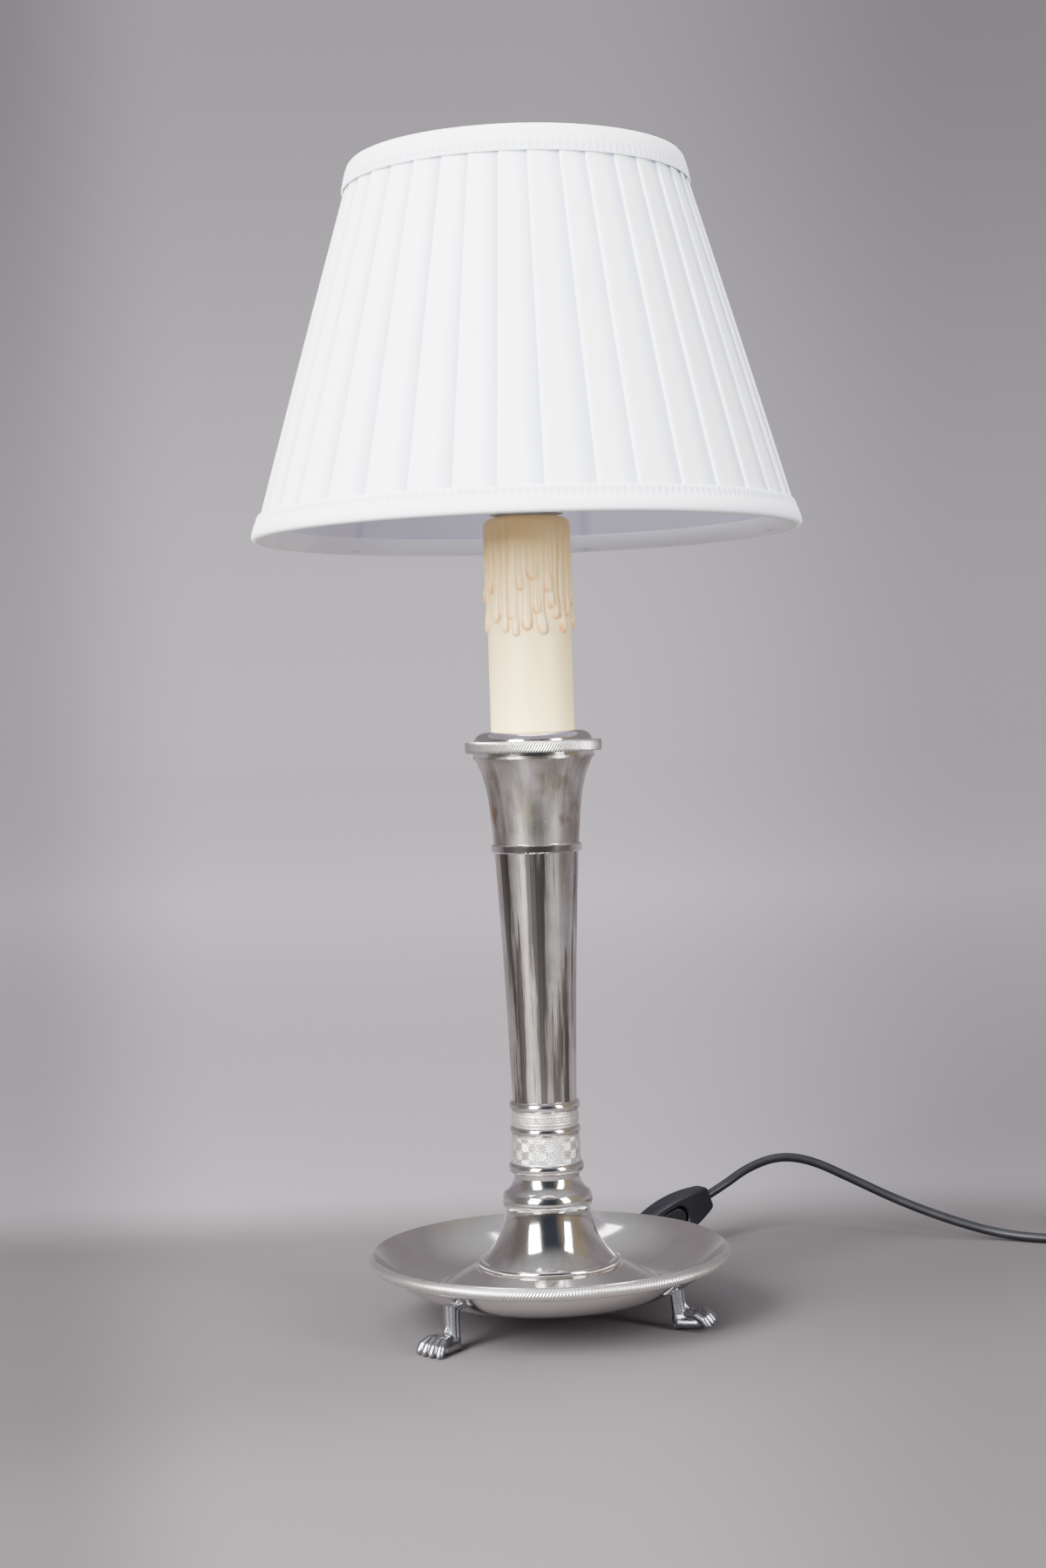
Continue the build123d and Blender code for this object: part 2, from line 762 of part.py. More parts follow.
# ---------------------------------------------------------------- bulb
bulb_low_z = insert_top_z + contact_strip_height
with BuildPart() as bulb_contact:
    with BuildSketch(Plane.XY.offset(bulb_low_z)):
        Circle(bulb_contact_r)
    extrude(amount=bulb_contact_height)
    chamfer(bulb_contact.edges().sort_by(Axis.Z)[0], bulb_contact_chamfer)
keep(bulb_contact, "bulb_contact")

cap_low_z = bulb_low_z + bulb_contact_height
bulb_cap_top_z = cap_low_z + bulb_cap_height
with BuildPart() as bulb_cap:
    with BuildSketch(Plane.XY.offset(cap_low_z)):
        Circle(bulb_cap_r)
    extrude(amount=bulb_cap_height)
    chamfer(bulb_cap.edges().sort_by(Axis.Z)[0], bulb_cap_chamfer)
keep(bulb_cap, "bulb_cap")

globe_z = bulb_cap_top_z + bulb_centre_rise
with BuildPart() as bulb_glass:
    with BuildSketch(Plane.XZ):
        neck_low = (bulb_neck_r, bulb_cap_top_z)
        tangent = radians(bulb_joint_angle)
        globe_side = (bulb_r * cos(tangent), globe_z + bulb_r * sin(tangent))
        neck_side = (bulb_neck_side[0], bulb_cap_top_z + bulb_neck_side[1])
        with BuildLine():
            Line((0, bulb_cap_top_z), neck_low)
            Spline(neck_low, neck_side, globe_side, tangents=[(0, 1), (-sin(tangent), cos(tangent))])
            middle = radians(bulb_side_angle)
            globe_mid = (bulb_r * cos(middle), globe_z + bulb_r * sin(middle))
            ThreePointArc(globe_side, globe_mid, (0, globe_z + bulb_r))
            Line((0, globe_z + bulb_r), (0, bulb_cap_top_z))
        make_face()
    revolve(axis=Axis.Z)
keep(bulb_glass, "bulb_glass")

# ---------------------------------------------------------------- shade carrier
seat_low_z = sleeve_top_z + seat_ring_rise
seat_ring = flat_ring(seat_low_z, seat_ring_height, seat_ring_r, skirt_r)
keep(seat_ring, "seat_ring")

carrier_low_z = seat_low_z + seat_ring_height
carrier_base = flat_ring(carrier_low_z, carrier_base_height, carrier_base_r, skirt_r + sleeve_gap)
keep(carrier_base, "carrier_base")

carrier_top_z = carrier_low_z + carrier_base_height
shade_ring_low_z = carrier_top_z + seat_gap
shade_ring = flat_ring(shade_ring_low_z, shade_ring_height, seat_ring_r, skirt_r + running_gap)
keep(shade_ring, "shade_ring")

carrier_ring_z = shade_high_z - carrier_ring_drop
carrier_leg_r = carrier_ring_r - carrier_ring_width / 2
leg_height = carrier_ring_z - carrier_top_z
leg_bend_low_z = carrier_top_z + leg_height * carrier_low_share
leg_bend_high_z = carrier_top_z + leg_height * carrier_high_share
leg_bend = 12.0
with BuildPart() as carrier_legs:
    for leg in range(leg_count):
        angle = first_leg_angle + leg * 360 / leg_count
        with BuildLine():
            FilletPolyline(
                place_on_circle(carrier_foot_r, angle, carrier_top_z),
                place_on_circle(carrier_foot_r, angle, leg_bend_low_z),
                place_on_circle(carrier_leg_r, angle, leg_bend_high_z),
                place_on_circle(carrier_leg_r, angle, carrier_ring_z),
                radius=leg_bend,
            )
        with BuildSketch(Plane(origin=place_on_circle(carrier_foot_r, angle, carrier_top_z))):
            Circle(carrier_wire_r)
        sweep()
keep(carrier_legs, "carrier_legs")

carrier_ring_inner_r = carrier_ring_r - carrier_ring_width
carrier_ring = flat_ring(carrier_ring_z, carrier_ring_height, carrier_ring_r, carrier_ring_inner_r)
keep(carrier_ring, "carrier_ring")

# ---------------------------------------------------------------- shade
shade_slope = (shade_high_r - shade_low_r) / (shade_high_z - shade_low_z)
upright = cos(atan2(abs(shade_slope), 1.0))


def cone_r(z, outwards=0.0):
    """Radius at a height, a distance outwards from the cover's outside."""
    return shade_low_r + (z - shade_low_z) * shade_slope + outwards


def cone_shell(low_z, high_z, outer, inner):
    """A straight cone wall between two distances from the cover's outside."""
    return turned([
        (cone_r(low_z, outer), low_z),
        (cone_r(high_z, outer), high_z),
        (cone_r(high_z, inner), high_z),
        (cone_r(low_z, inner), low_z),
    ])


# each knife pleat runs from its proud fold in to the foot of the next fold
with BuildPart() as pleated_cover:
    for z in (shade_low_z, shade_high_z):
        folds = []
        for pleat in range(pleat_count):
            start = 360.0 / pleat_count * pleat
            end = 360.0 / pleat_count * (pleat + 1)
            folds.append(place_on_circle(cone_r(z, pleat_depth), start)[:2])
            folds.append(place_on_circle(cone_r(z), end)[:2])
        with BuildSketch(Plane.XY.offset(z)):
            with BuildLine():
                Polyline(*folds, close=True)
            make_face()
    loft(ruled=True)
    for z in (shade_low_z, shade_high_z):
        with BuildSketch(Plane.XY.offset(z)):
            RegularPolygon(cone_r(z, -cover_thickness), pleat_count * 2, major_radius=False)
    loft(ruled=True, mode=Mode.SUBTRACT)
keep(pleated_cover, "pleated_cover")

wire_in = cover_thickness + layer_gap + frame_wire_r / upright
lining_out = wire_in + frame_wire_r / upright + layer_gap
top_wire_z = shade_high_z - frame_wire_r
bottom_wire_z = shade_low_z + frame_wire_r
with BuildPart() as frame_rings:
    with BuildSketch(Plane.XZ):
        for wire_z in (top_wire_z, bottom_wire_z):
            with Locations((cone_r(wire_z, -wire_in), wire_z)):
                Circle(frame_wire_r)
    revolve(axis=Axis.Z)
keep(frame_rings, "frame_rings")

with BuildPart() as frame_struts:
    for strut in range(strut_count):
        angle = first_strut_angle + strut * 360 / strut_count
        strut_low = Vector(*place_on_circle(cone_r(bottom_wire_z, -wire_in), angle, bottom_wire_z))
        strut_high = Vector(*place_on_circle(cone_r(top_wire_z, -wire_in), angle, top_wire_z))
        strut_span = strut_high - strut_low
        with BuildSketch(Plane(origin=strut_low, z_dir=strut_span)):
            Circle(strut_r)
        extrude(amount=strut_span.length)
keep(frame_struts, "frame_struts")

spider_low_z = carrier_ring_z + carrier_ring_height + seat_gap
spider_top_z = spider_low_z + spider_ring_height
collar_r = carrier_ring_r + sleeve_gap
spider_ring = turned([
    (spider_ring_inner_r, spider_low_z),
    (collar_r, spider_low_z),
    (collar_r, spider_low_z - spider_lip),
    (collar_r + spider_wall, spider_low_z - spider_lip),
    (collar_r + spider_wall, spider_top_z),
    (spider_ring_inner_r, spider_top_z),
])
keep(spider_ring, "spider_ring")


def arm_rods(radius):
    """The three rods from the spider ring out to the shade's top ring."""
    with BuildPart() as rods:
        for arm in range(spider_arm_count):
            angle = first_arm_angle + arm * 360 / spider_arm_count
            arm_low = Vector(*place_on_circle(collar_r, angle, spider_top_z))
            arm_high = Vector(*place_on_circle(cone_r(top_wire_z, -wire_in), angle, top_wire_z))
            arm_span = arm_high - arm_low
            with BuildSketch(Plane(origin=arm_low, z_dir=arm_span)):
                Circle(radius)
            extrude(amount=arm_span.length)
    return rods


spider_arms = arm_rods(frame_wire_r)
keep(spider_arms, "spider_arms")
arm_room = arm_rods(frame_wire_r + layer_gap)

with BuildPart() as lining:
    add(cone_shell(shade_low_z, shade_high_z, -lining_out, -lining_out - lining_thickness).part)
    add(arm_room.part, mode=Mode.SUBTRACT)
keep(lining, "lining")


def edge_tape(edge_z, side, height):
    """Tape folded over an edge of the shade: side is 1 at the top edge, -1 at the bottom."""
    outer = pleat_depth + layer_gap
    inner = -lining_out - lining_thickness - layer_gap
    free_z = edge_z - side * height
    tucked_z = edge_z - side * tape_turn_in
    fold_z = edge_z + side * layer_gap
    crown_z = fold_z + side * tape_thickness
    return turned([
        (cone_r(free_z, outer + tape_thickness), free_z),
        (cone_r(crown_z, outer + tape_thickness), crown_z),
        (cone_r(crown_z, inner - tape_thickness), crown_z),
        (cone_r(tucked_z, inner - tape_thickness), tucked_z),
        (cone_r(tucked_z, inner), tucked_z),
        (cone_r(fold_z, inner), fold_z),
        (cone_r(fold_z, outer), fold_z),
        (cone_r(free_z, outer), free_z),
    ])


with BuildPart() as top_tape:
    add(edge_tape(shade_high_z, 1, top_tape_height).part)
    add(arm_room.part, mode=Mode.SUBTRACT)
keep(top_tape, "top_tape")

bottom_tape = edge_tape(shade_low_z, -1, bottom_tape_height)
keep(bottom_tape, "bottom_tape")

# ---------------------------------------------------------------- inline switch
half_length = switch_length / 2
along = Vector(1, 0, 0).rotate(Axis.Y, -switch_tilt).rotate(Axis.Z, switch_heading)
facing = Vector(0, -1, 0).rotate(Axis.Z, switch_heading)
switch_out = Vector(*switch_exit)
switch_in = switch_out - along * switch_length
switch_face = Plane(origin=(switch_in + switch_out) / 2, x_dir=along, z_dir=facing)
switch_side = Plane(origin=switch_face.origin, x_dir=along, z_dir=along.cross(facing))
outwards = Axis(switch_face.origin, switch_face.z_dir)
screw_places = [(-screw_place, 0), (screw_place, 0)]
contact_places = [(-contact_place, 0), (contact_place, 0)]
rocker_axis_at = switch_face.origin + facing * rocker_pivot_z
pin_plane = Plane(origin=rocker_axis_at, x_dir=along, z_dir=switch_face.y_dir)
pin_half_length = recess_width / 2 + switch_wall / 2


def almond(inset, side):
    """Half of the switch's body drawn in by inset: side is 1 for the cover, -1 for the base."""
    end_x = half_length - inset
    end_y = switch_end_width / 2 - inset
    crown_y = switch_width / 2 - inset
    crown = (switch_crown - inset) * side
    tip = (switch_tip - inset) * side
    with BuildPart() as body:
        with BuildSketch(switch_face):
            with BuildLine():
                ThreePointArc((-end_x, end_y), (0, crown_y), (end_x, end_y))
                Line((end_x, end_y), (end_x, -end_y))
                ThreePointArc((end_x, -end_y), (0, -crown_y), (-end_x, -end_y))
                Line((-end_x, -end_y), (-end_x, end_y))
            make_face()
            fillet(vertices(), switch_corner_r - inset)
        extrude(amount=crown)
        with BuildSketch(switch_side):
            with BuildLine():
                ThreePointArc((-half_length, tip), (0, crown), (half_length, tip))
                Polyline((half_length, tip), (half_length, 0), (-half_length, 0), (-half_length, tip))
            make_face()
        extrude(amount=switch_width, both=True, mode=Mode.INTERSECT)
    return body


cover_room = almond(switch_wall, 1)
with BuildPart() as cover_hollow:
    add(cover_room.part)
    with BuildSketch(switch_face):
        SlotOverall(recess_length + switch_wall * 2, recess_width + switch_wall * 2)
        with Locations(screw_places):
            Circle(screw_post_r)
    extrude(amount=switch_crown, mode=Mode.SUBTRACT)

cover_block = almond(0.0, 1)
with BuildPart() as switch_cover:
    add(cover_block.part)
    fillet(switch_cover.faces().sort_by(outwards)[-1].edges(), switch_round)
    add(cover_hollow.part, mode=Mode.SUBTRACT)
    with BuildSketch(switch_face):
        SlotOverall(recess_length, recess_width)
    extrude(amount=switch_crown, mode=Mode.SUBTRACT)
    with BuildSketch(switch_face.offset(switch_crown)):
        SlotOverall(recess_length + recess_bevel * 2, recess_width + recess_bevel * 2)
    extrude(amount=-recess_bevel, taper=bevel_angle, mode=Mode.SUBTRACT)
    with BuildSketch(switch_face):
        with Locations(screw_places):
            Circle(screw_r)
    extrude(amount=screw_grip, mode=Mode.SUBTRACT)
    with BuildSketch(pin_plane):
        Circle(rocker_pin_r)
    extrude(amount=pin_half_length, both=True, mode=Mode.SUBTRACT)
keep(switch_cover, "switch_cover")

base_room = almond(switch_wall, -1)
with BuildPart() as base_hollow:
    add(base_room.part)
    with BuildSketch(switch_face):
        with Locations(screw_places):
            Circle(screw_post_r)
    extrude(amount=-switch_crown, mode=Mode.SUBTRACT)

base_block = almond(0.0, -1)
with BuildPart() as switch_base:
    add(base_block.part)
    fillet(switch_base.faces().sort_by(outwards)[0].edges(), switch_round)
    add(base_hollow.part, mode=Mode.SUBTRACT)
    with BuildSketch(switch_face):
        with Locations(screw_places):
            Circle(screw_r + running_gap)
    extrude(amount=-screw_seat, mode=Mode.SUBTRACT)
    with BuildSketch(switch_face.offset(-screw_seat)):
        with Locations(screw_places):
            Circle(screw_head_r + running_gap)
    extrude(amount=screw_seat - switch_crown, mode=Mode.SUBTRACT)
keep(switch_base, "switch_base")

with BuildPart() as switch_screws:
    with BuildSketch(switch_face.offset(-screw_seat)):
        with Locations(screw_places):
            Circle(screw_r)
    extrude(amount=screw_seat + screw_grip)
    with BuildSketch(switch_face.offset(-screw_seat)):
        with Locations(screw_places):
            Circle(screw_head_r)
    extrude(amount=-screw_head_height)
keep(switch_screws, "switch_screws")

with BuildPart() as switch_contacts:
    with BuildSketch(switch_face.offset(-contact_top)):
        with Locations(contact_places):
            Rectangle(contact_block[0], contact_block[1])
    extrude(amount=switch_wall / 2 + contact_top - switch_crown)
    add(switch_base.part, mode=Mode.SUBTRACT)
keep(switch_contacts, "switch_contacts")

# the rocker is modelled at one end of its swing
with BuildPart() as level_rocker:
    with BuildSketch(switch_face.offset(rocker_low_z)):
        SlotOverall(recess_length - rocker_gap * 2, recess_width - rocker_gap * 2)
    extrude(amount=rocker_top_z - rocker_low_z)
    fillet(level_rocker.faces().sort_by(outwards)[-1].edges(), rocker_round)
    with BuildSketch(pin_plane):
        Circle(rocker_pin_r + running_gap)
    extrude(amount=recess_width / 2, both=True, mode=Mode.SUBTRACT)

rocker_axis = Axis(rocker_axis_at, switch_face.y_dir)
with BuildPart() as switch_rocker:
    add(level_rocker.part.rotate(rocker_axis, -rocker_swing / 2))
keep(switch_rocker, "switch_rocker")

with BuildPart() as rocker_pin:
    with BuildSketch(pin_plane):
        Circle(rocker_pin_r)
    extrude(amount=pin_half_length, both=True)
keep(rocker_pin, "rocker_pin")

# ---------------------------------------------------------------- mains cord
boot_tip = outlet_dir * (cup_r + boot_length) + Vector(0, 0, outlet_z)
base_route = [                 # from the boot under the dish to the switch
    boot_tip,
    boot_tip + outlet_dir * straight_end,
    Vector(10.2, 78.0, lying_z),
    Vector(11.6, 110.8, lying_z),
    Vector(21.9, 125.6, lying_z),
    switch_in - along * straight_end,
    switch_in,
]
coil_start = Vector(*coil_entry, lying_z)
main_route = [                 # from the switch up in an arch, down to the floor and to the coil
    switch_out,
    switch_out + along * straight_end,
    Vector(108.6, 174.6, 37.2),
    Vector(125.5, 175.2, 43.2),
    Vector(143.0, 173.6, 41.0),
    Vector(163.8, 169.5, 31.2),
    Vector(188.0, 163.2, 19.6),
    Vector(213.0, 155.0, 10.4),
    Vector(238.5, 147.0, 3.4),
    Vector(262.0, 135.0, lying_z),
    Vector(284.0, 130.6, lying_z),
    coil_start - Vector(straight_end, 0, 0),
    coil_start,
]


def bend_radii(route):
    """Each bend's radius: a share of its shorter run over the tangent of half its turn."""
    radii = []
    for before, corner, after in zip(route, route[1:], route[2:]):
        run_in = corner - before
        run_out = after - corner
        half_turn = radians(run_in.get_angle(run_out)) / 2
        radii.append(bend_share * min(run_in.length, run_out.length) / tan(half_turn))
    return radii


def print_tube(node, tube, path_length):
    """Compare a swept tube's volume with its section times its length."""
    expected = pi * cord_r ** 2 * path_length
    print(f"{node}: length {path_length:.1f}, volume {tube.part.volume:.0f}, expected {expected:.0f}")


def cord_tube(route, node):
    """A stretch of cord with a fillet at each corner of its route. Gives its length."""
    radii = bend_radii(route)
    print(f"{node}: bend radii", [round(radius, 1) for radius in radii])
    with BuildPart() as tube:
        with BuildLine() as path:
            FilletPolyline(*route, radius=radii)
        with BuildSketch(Plane(origin=route[0], z_dir=route[1] - route[0])):
            Circle(cord_r)
        sweep()
    keep(tube, node)
    print_tube(node, tube, path.wire().length)
    return path.wire().length


base_length = cord_tube(base_route, "cord_base_stretch")
main_length = cord_tube(main_route, "cord_main_stretch")

# coil of spare cord: half turns wound inwards on the floor, then out again on top of those
turn_pitch = cord_d + coil_gap
climbing_half = coil_half_turns - 1
coil_end = coil_start
with BuildPart() as cord_coil:
    with BuildLine() as coil_path:
        for half in range(coil_half_turns * 2):
            half_r = coil_inner_r + abs(half - climbing_half) * turn_pitch / 2
            side = 1 if half % 2 == 0 else -1
            climb = turn_pitch if half == climbing_half else 0
            far_end = coil_end + Vector(0, half_r * 2 * side, climb)
            bulge = Vector((far_end - coil_end).length / 2 * side, 0, 0)
            ThreePointArc(coil_end, (coil_end + far_end) / 2 + bulge, far_end)
            coil_end = far_end
        exit_r = coil_inner_r + (coil_half_turns + 1) * turn_pitch / 2
        exit_middle = coil_end + Vector(exit_r * sin(pi / 4), exit_r * (1 - cos(pi / 4)), 0)
        ThreePointArc(coil_end, exit_middle, coil_end + Vector(exit_r, exit_r, 0))
    with BuildSketch(Plane(origin=coil_start, z_dir=(1, 0, 0))):
        Circle(cord_r)
    sweep()
keep(cord_coil, "cord_coil")
coil_wire = coil_path.wire()
print_tube("cord_coil", cord_coil, coil_wire.length)

# the coil's least gap to itself, between points more than four diameters apart along it
samples = int(coil_wire.length / coil_sample)
skip = int(cord_d * 4 / coil_sample)
coil_points = [tuple(coil_wire @ (step / samples)) for step in range(samples + 1)]
coil_least = min(
    dist(coil_points[i], coil_points[j])
    for i in range(samples + 1)
    for j in range(i + skip, samples + 1)
)
print(f"cord_coil: least gap to itself {coil_least - cord_d:.2f}")

# ---------------------------------------------------------------- tail and plug
plug_z = plug_height / 2
tail_start = coil_end + Vector(exit_r, exit_r, 0)
tail_end = Vector(tail_start.X, tail_start.Y + tail_length, plug_z)
tail_route = [
    tail_start,
    tail_start + Vector(0, tail_length / 3, 0),
    tail_end - Vector(0, tail_length / 3, 0),
    tail_end,
]
tail_piece_length = cord_tube(tail_route, "cord_tail")
cord_total = base_length + main_length + coil_wire.length + tail_piece_length
print(f"cord outside the lamp: {cord_total:.0f}")


def across(y):
    """The upright plane across the plug at a depth, looking the way its pins point."""
    return Plane(origin=(tail_end.X, y, plug_z), x_dir=(-1, 0, 0), z_dir=(0, 1, 0))


# the plug is moulded on the cord, with a boot that ends where the cord comes out
plug_rear_y = tail_end.Y + plug_boot_length
plug_front_y = plug_rear_y + plug_length
pin_places = [(-pin_spacing / 2, 0), (pin_spacing / 2, 0)]
with BuildPart() as plug_body:
    with BuildSketch(across(tail_end.Y)):
        Circle(plug_boot_tip_r)
    with BuildSketch(across(plug_rear_y)):
        Circle(plug_boot_r)
    loft()
    with BuildSketch(across(plug_rear_y)):
        RectangleRounded(plug_rear_width, plug_rear_height, plug_round)
    with BuildSketch(across(plug_front_y - plug_straight)):
        RectangleRounded(plug_width, plug_height, plug_round)
    loft()
    with BuildSketch(across(plug_front_y - plug_straight)):
        RectangleRounded(plug_width, plug_height, plug_round)
    extrude(amount=plug_straight)
    with BuildSketch(across(plug_front_y - pin_root)):
        with Locations(pin_places):
            Circle(pin_r)
    extrude(amount=pin_root, mode=Mode.SUBTRACT)
keep(plug_body, "plug_body")

with BuildPart() as plug_pins:
    with BuildSketch(across(plug_front_y - pin_root)):
        with Locations(pin_places):
            Circle(pin_r)
    extrude(amount=pin_root + pin_length)
    fillet(plug_pins.faces().sort_by(Axis.Y)[-2:].edges(), pin_round)
keep(plug_pins, "plug_pins")
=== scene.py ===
"""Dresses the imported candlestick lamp: silver plate, drip-wax sleeve, pleated shade and cord."""

import math

import bmesh
import bpy
import numpy as np
from bpy.props import FloatProperty, FloatVectorProperty, IntProperty, PointerProperty
from mathutils import Matrix, Vector


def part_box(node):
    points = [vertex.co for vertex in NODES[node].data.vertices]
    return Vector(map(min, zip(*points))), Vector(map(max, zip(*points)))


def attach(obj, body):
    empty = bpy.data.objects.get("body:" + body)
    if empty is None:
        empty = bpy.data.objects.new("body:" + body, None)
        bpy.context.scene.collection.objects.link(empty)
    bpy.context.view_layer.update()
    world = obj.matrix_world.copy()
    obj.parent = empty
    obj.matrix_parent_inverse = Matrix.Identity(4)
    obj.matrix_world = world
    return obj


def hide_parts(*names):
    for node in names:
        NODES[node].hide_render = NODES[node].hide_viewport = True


bl_info = {
    "name": "Candlestick Lamp",
    "version": (1, 0, 0),
    "blender": (4, 5, 0),
    "location": "3D View > Sidebar > Lamp",
    "description": "Builds the finishes and soft pieces of a candlestick table lamp",
    "category": "Object",
}

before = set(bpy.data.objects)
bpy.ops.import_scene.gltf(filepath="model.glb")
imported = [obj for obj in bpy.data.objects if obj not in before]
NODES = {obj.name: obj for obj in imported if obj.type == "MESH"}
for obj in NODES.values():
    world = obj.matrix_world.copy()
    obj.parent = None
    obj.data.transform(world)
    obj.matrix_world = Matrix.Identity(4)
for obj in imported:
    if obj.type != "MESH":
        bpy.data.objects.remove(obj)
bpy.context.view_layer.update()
MM = 0.001
TURN = 2 * math.pi

# ---------- sizes and colours


def length(name, description, millimetres):
    """A length setting."""
    return FloatProperty(name=name, description=description, default=millimetres * MM, unit="LENGTH")


def count(name, description, default, least, most):
    """A setting that counts something."""
    return IntProperty(name=name, description=description, default=default, min=least, max=most)


def colour(name, description, default):
    """A colour setting."""
    return FloatVectorProperty(
        name=name, description=description, default=default, subtype="COLOR", size=3, min=0, max=1
    )


class LampReliefSizes(bpy.types.PropertyGroup):
    """Ornament that is cut or cast into the silver."""

    rope_lobes: count("Rope lobes", "Strands shown round the dish's rope border", 360, 60, 600)
    rope_depth: length("Rope depth", "Depth between two strands", 0.42)
    knurl_cuts: count("Knurl cuts", "Slanted cuts round the drip cap's ring", 156, 40, 300)
    knurl_depth: length("Knurl depth", "Depth of a cut", 0.5)
    lozenges: count("Lozenges", "Lozenges round the lattice band", 12, 4, 40)
    key_units: count("Key units", "Units of the key pattern round its band", 24, 6, 60)
    line_depth: length("Line depth", "Depth of the cast lines of both bands", 0.24)


class LampSoftSizes(bpy.types.PropertyGroup):
    """Shade, wax sleeve and cord."""

    pleats: count("Pleats", "Knife pleats round the shade", 38, 12, 90)
    pleat_depth: length("Pleat depth", "How far a fold stands out", 1.5)
    cloth: length("Cloth", "Thickness of the pleated cloth", 0.35)
    stitch: length("Stitch", "Length of one stitch of the tapes", 3.2)
    drip_proud: length("Drip height", "How far a wax drip stands out", 1.0)
    cord: length("Cord", "Diameter of the mains cord", 4.8)


class LampColours(bpy.types.PropertyGroup):
    """Colours of every finish."""

    silver: colour("Silver", "Bright silver plate", (0.87, 0.845, 0.82))
    patina: colour("Patina", "Warm film on the plate", (0.40, 0.365, 0.29))
    # painted reflection: dark streaks up the tube that stand for the dark room mirrored in the plate, partly
    # real tarnish
    film: colour("Film", "Dark streaks of tarnish up the tube", (0.16, 0.145, 0.13))
    spot: colour("Spot", "Orange-brown spots where the plate is thin", (0.36, 0.20, 0.11))
    oxide: colour("Oxide", "Dark silver in the hollows", (0.075, 0.075, 0.07))
    pewter: colour("Pewter", "Cast feet", (0.33, 0.34, 0.37))
    ivory: colour("Ivory", "Wax sleeve", (0.95, 0.76, 0.37))
    tan: colour("Tan", "Wax near the flame", (0.90, 0.60, 0.20))
    stain: colour("Stain", "Orange-brown line round a drip", (0.66, 0.20, 0.02))
    cover: colour("Cover", "Pleated cloth", (0.90, 0.91, 0.95))
    # painted shade: the blue-grey that the cloth takes in the pleats' creases, the lining's seams and the
    # tapes' stitches
    fold: colour("Fold", "Cloth in the foot of a fold", (0.36, 0.42, 0.60))
    lining: colour("Lining", "Cloth inside the shade", (0.74, 0.73, 0.86))
    black: colour("Black", "Cord, switch and plug", (0.006, 0.006, 0.008))
    brass: colour("Brass", "Screw shell, contacts and pins", (0.72, 0.52, 0.24))
    zinc: colour("Zinc", "Nuts, washers and screws", (0.62, 0.62, 0.61))
    enamel: colour("Enamel", "White paint on the shade's wires", (0.84, 0.84, 0.82))
    moulding: colour("Moulding", "Lampholder plastic", (0.82, 0.80, 0.73))
    opal: colour("Opal", "Bulb glass", (0.92, 0.91, 0.88))
    floor: colour("Floor", "Pale studio paper in front", (0.063, 0.0565, 0.0585))
    # painted shade: darker paper round the lamp's foot
    floor_painted_shade: colour("Floor, dim", "Paper round the foot", (0.048, 0.0425, 0.045))
    paper: colour("Paper", "Paper behind", (0.111, 0.102, 0.112))
    paper_far: colour("Paper, far", "Paper far behind", (0.297, 0.272, 0.301))
    # painted shade: the floor well before the lamp, made dark for the plate to mirror
    front: colour("Front", "Dim floor before the paper", (0.026, 0.026, 0.028))


# ---------- finishes


class Link:
    """A socket of a finish, so that shader maths is written as plain expressions."""

    def __init__(self, finish, socket):
        self.finish = finish
        self.socket = socket

    def maths(self, operation, *values):
        return self.finish.node("ShaderNodeMath", dict(enumerate(values)), operation=operation)

    def __add__(self, other):
        return self.maths("ADD", self, other)

    def __sub__(self, other):
        return self.maths("SUBTRACT", self, other)

    def __rsub__(self, other):
        return self.maths("SUBTRACT", other, self)

    def __mul__(self, other):
        return self.maths("MULTIPLY", self, other)

    def __truediv__(self, other):
        return self.maths("DIVIDE", self, other)

    def __rtruediv__(self, other):
        return self.maths("DIVIDE", other, self)

    def __abs__(self):
        return self.maths("ABSOLUTE", self)

    __radd__ = __add__
    __rmul__ = __mul__

    def between(self, low, high):
        """Smooth step from 0 at low to 1 at high."""
        return self.finish.node(
            "ShaderNodeMapRange",
            {"Value": self, "From Min": low, "From Max": high},
            interpolation_type="SMOOTHSTEP",
        )


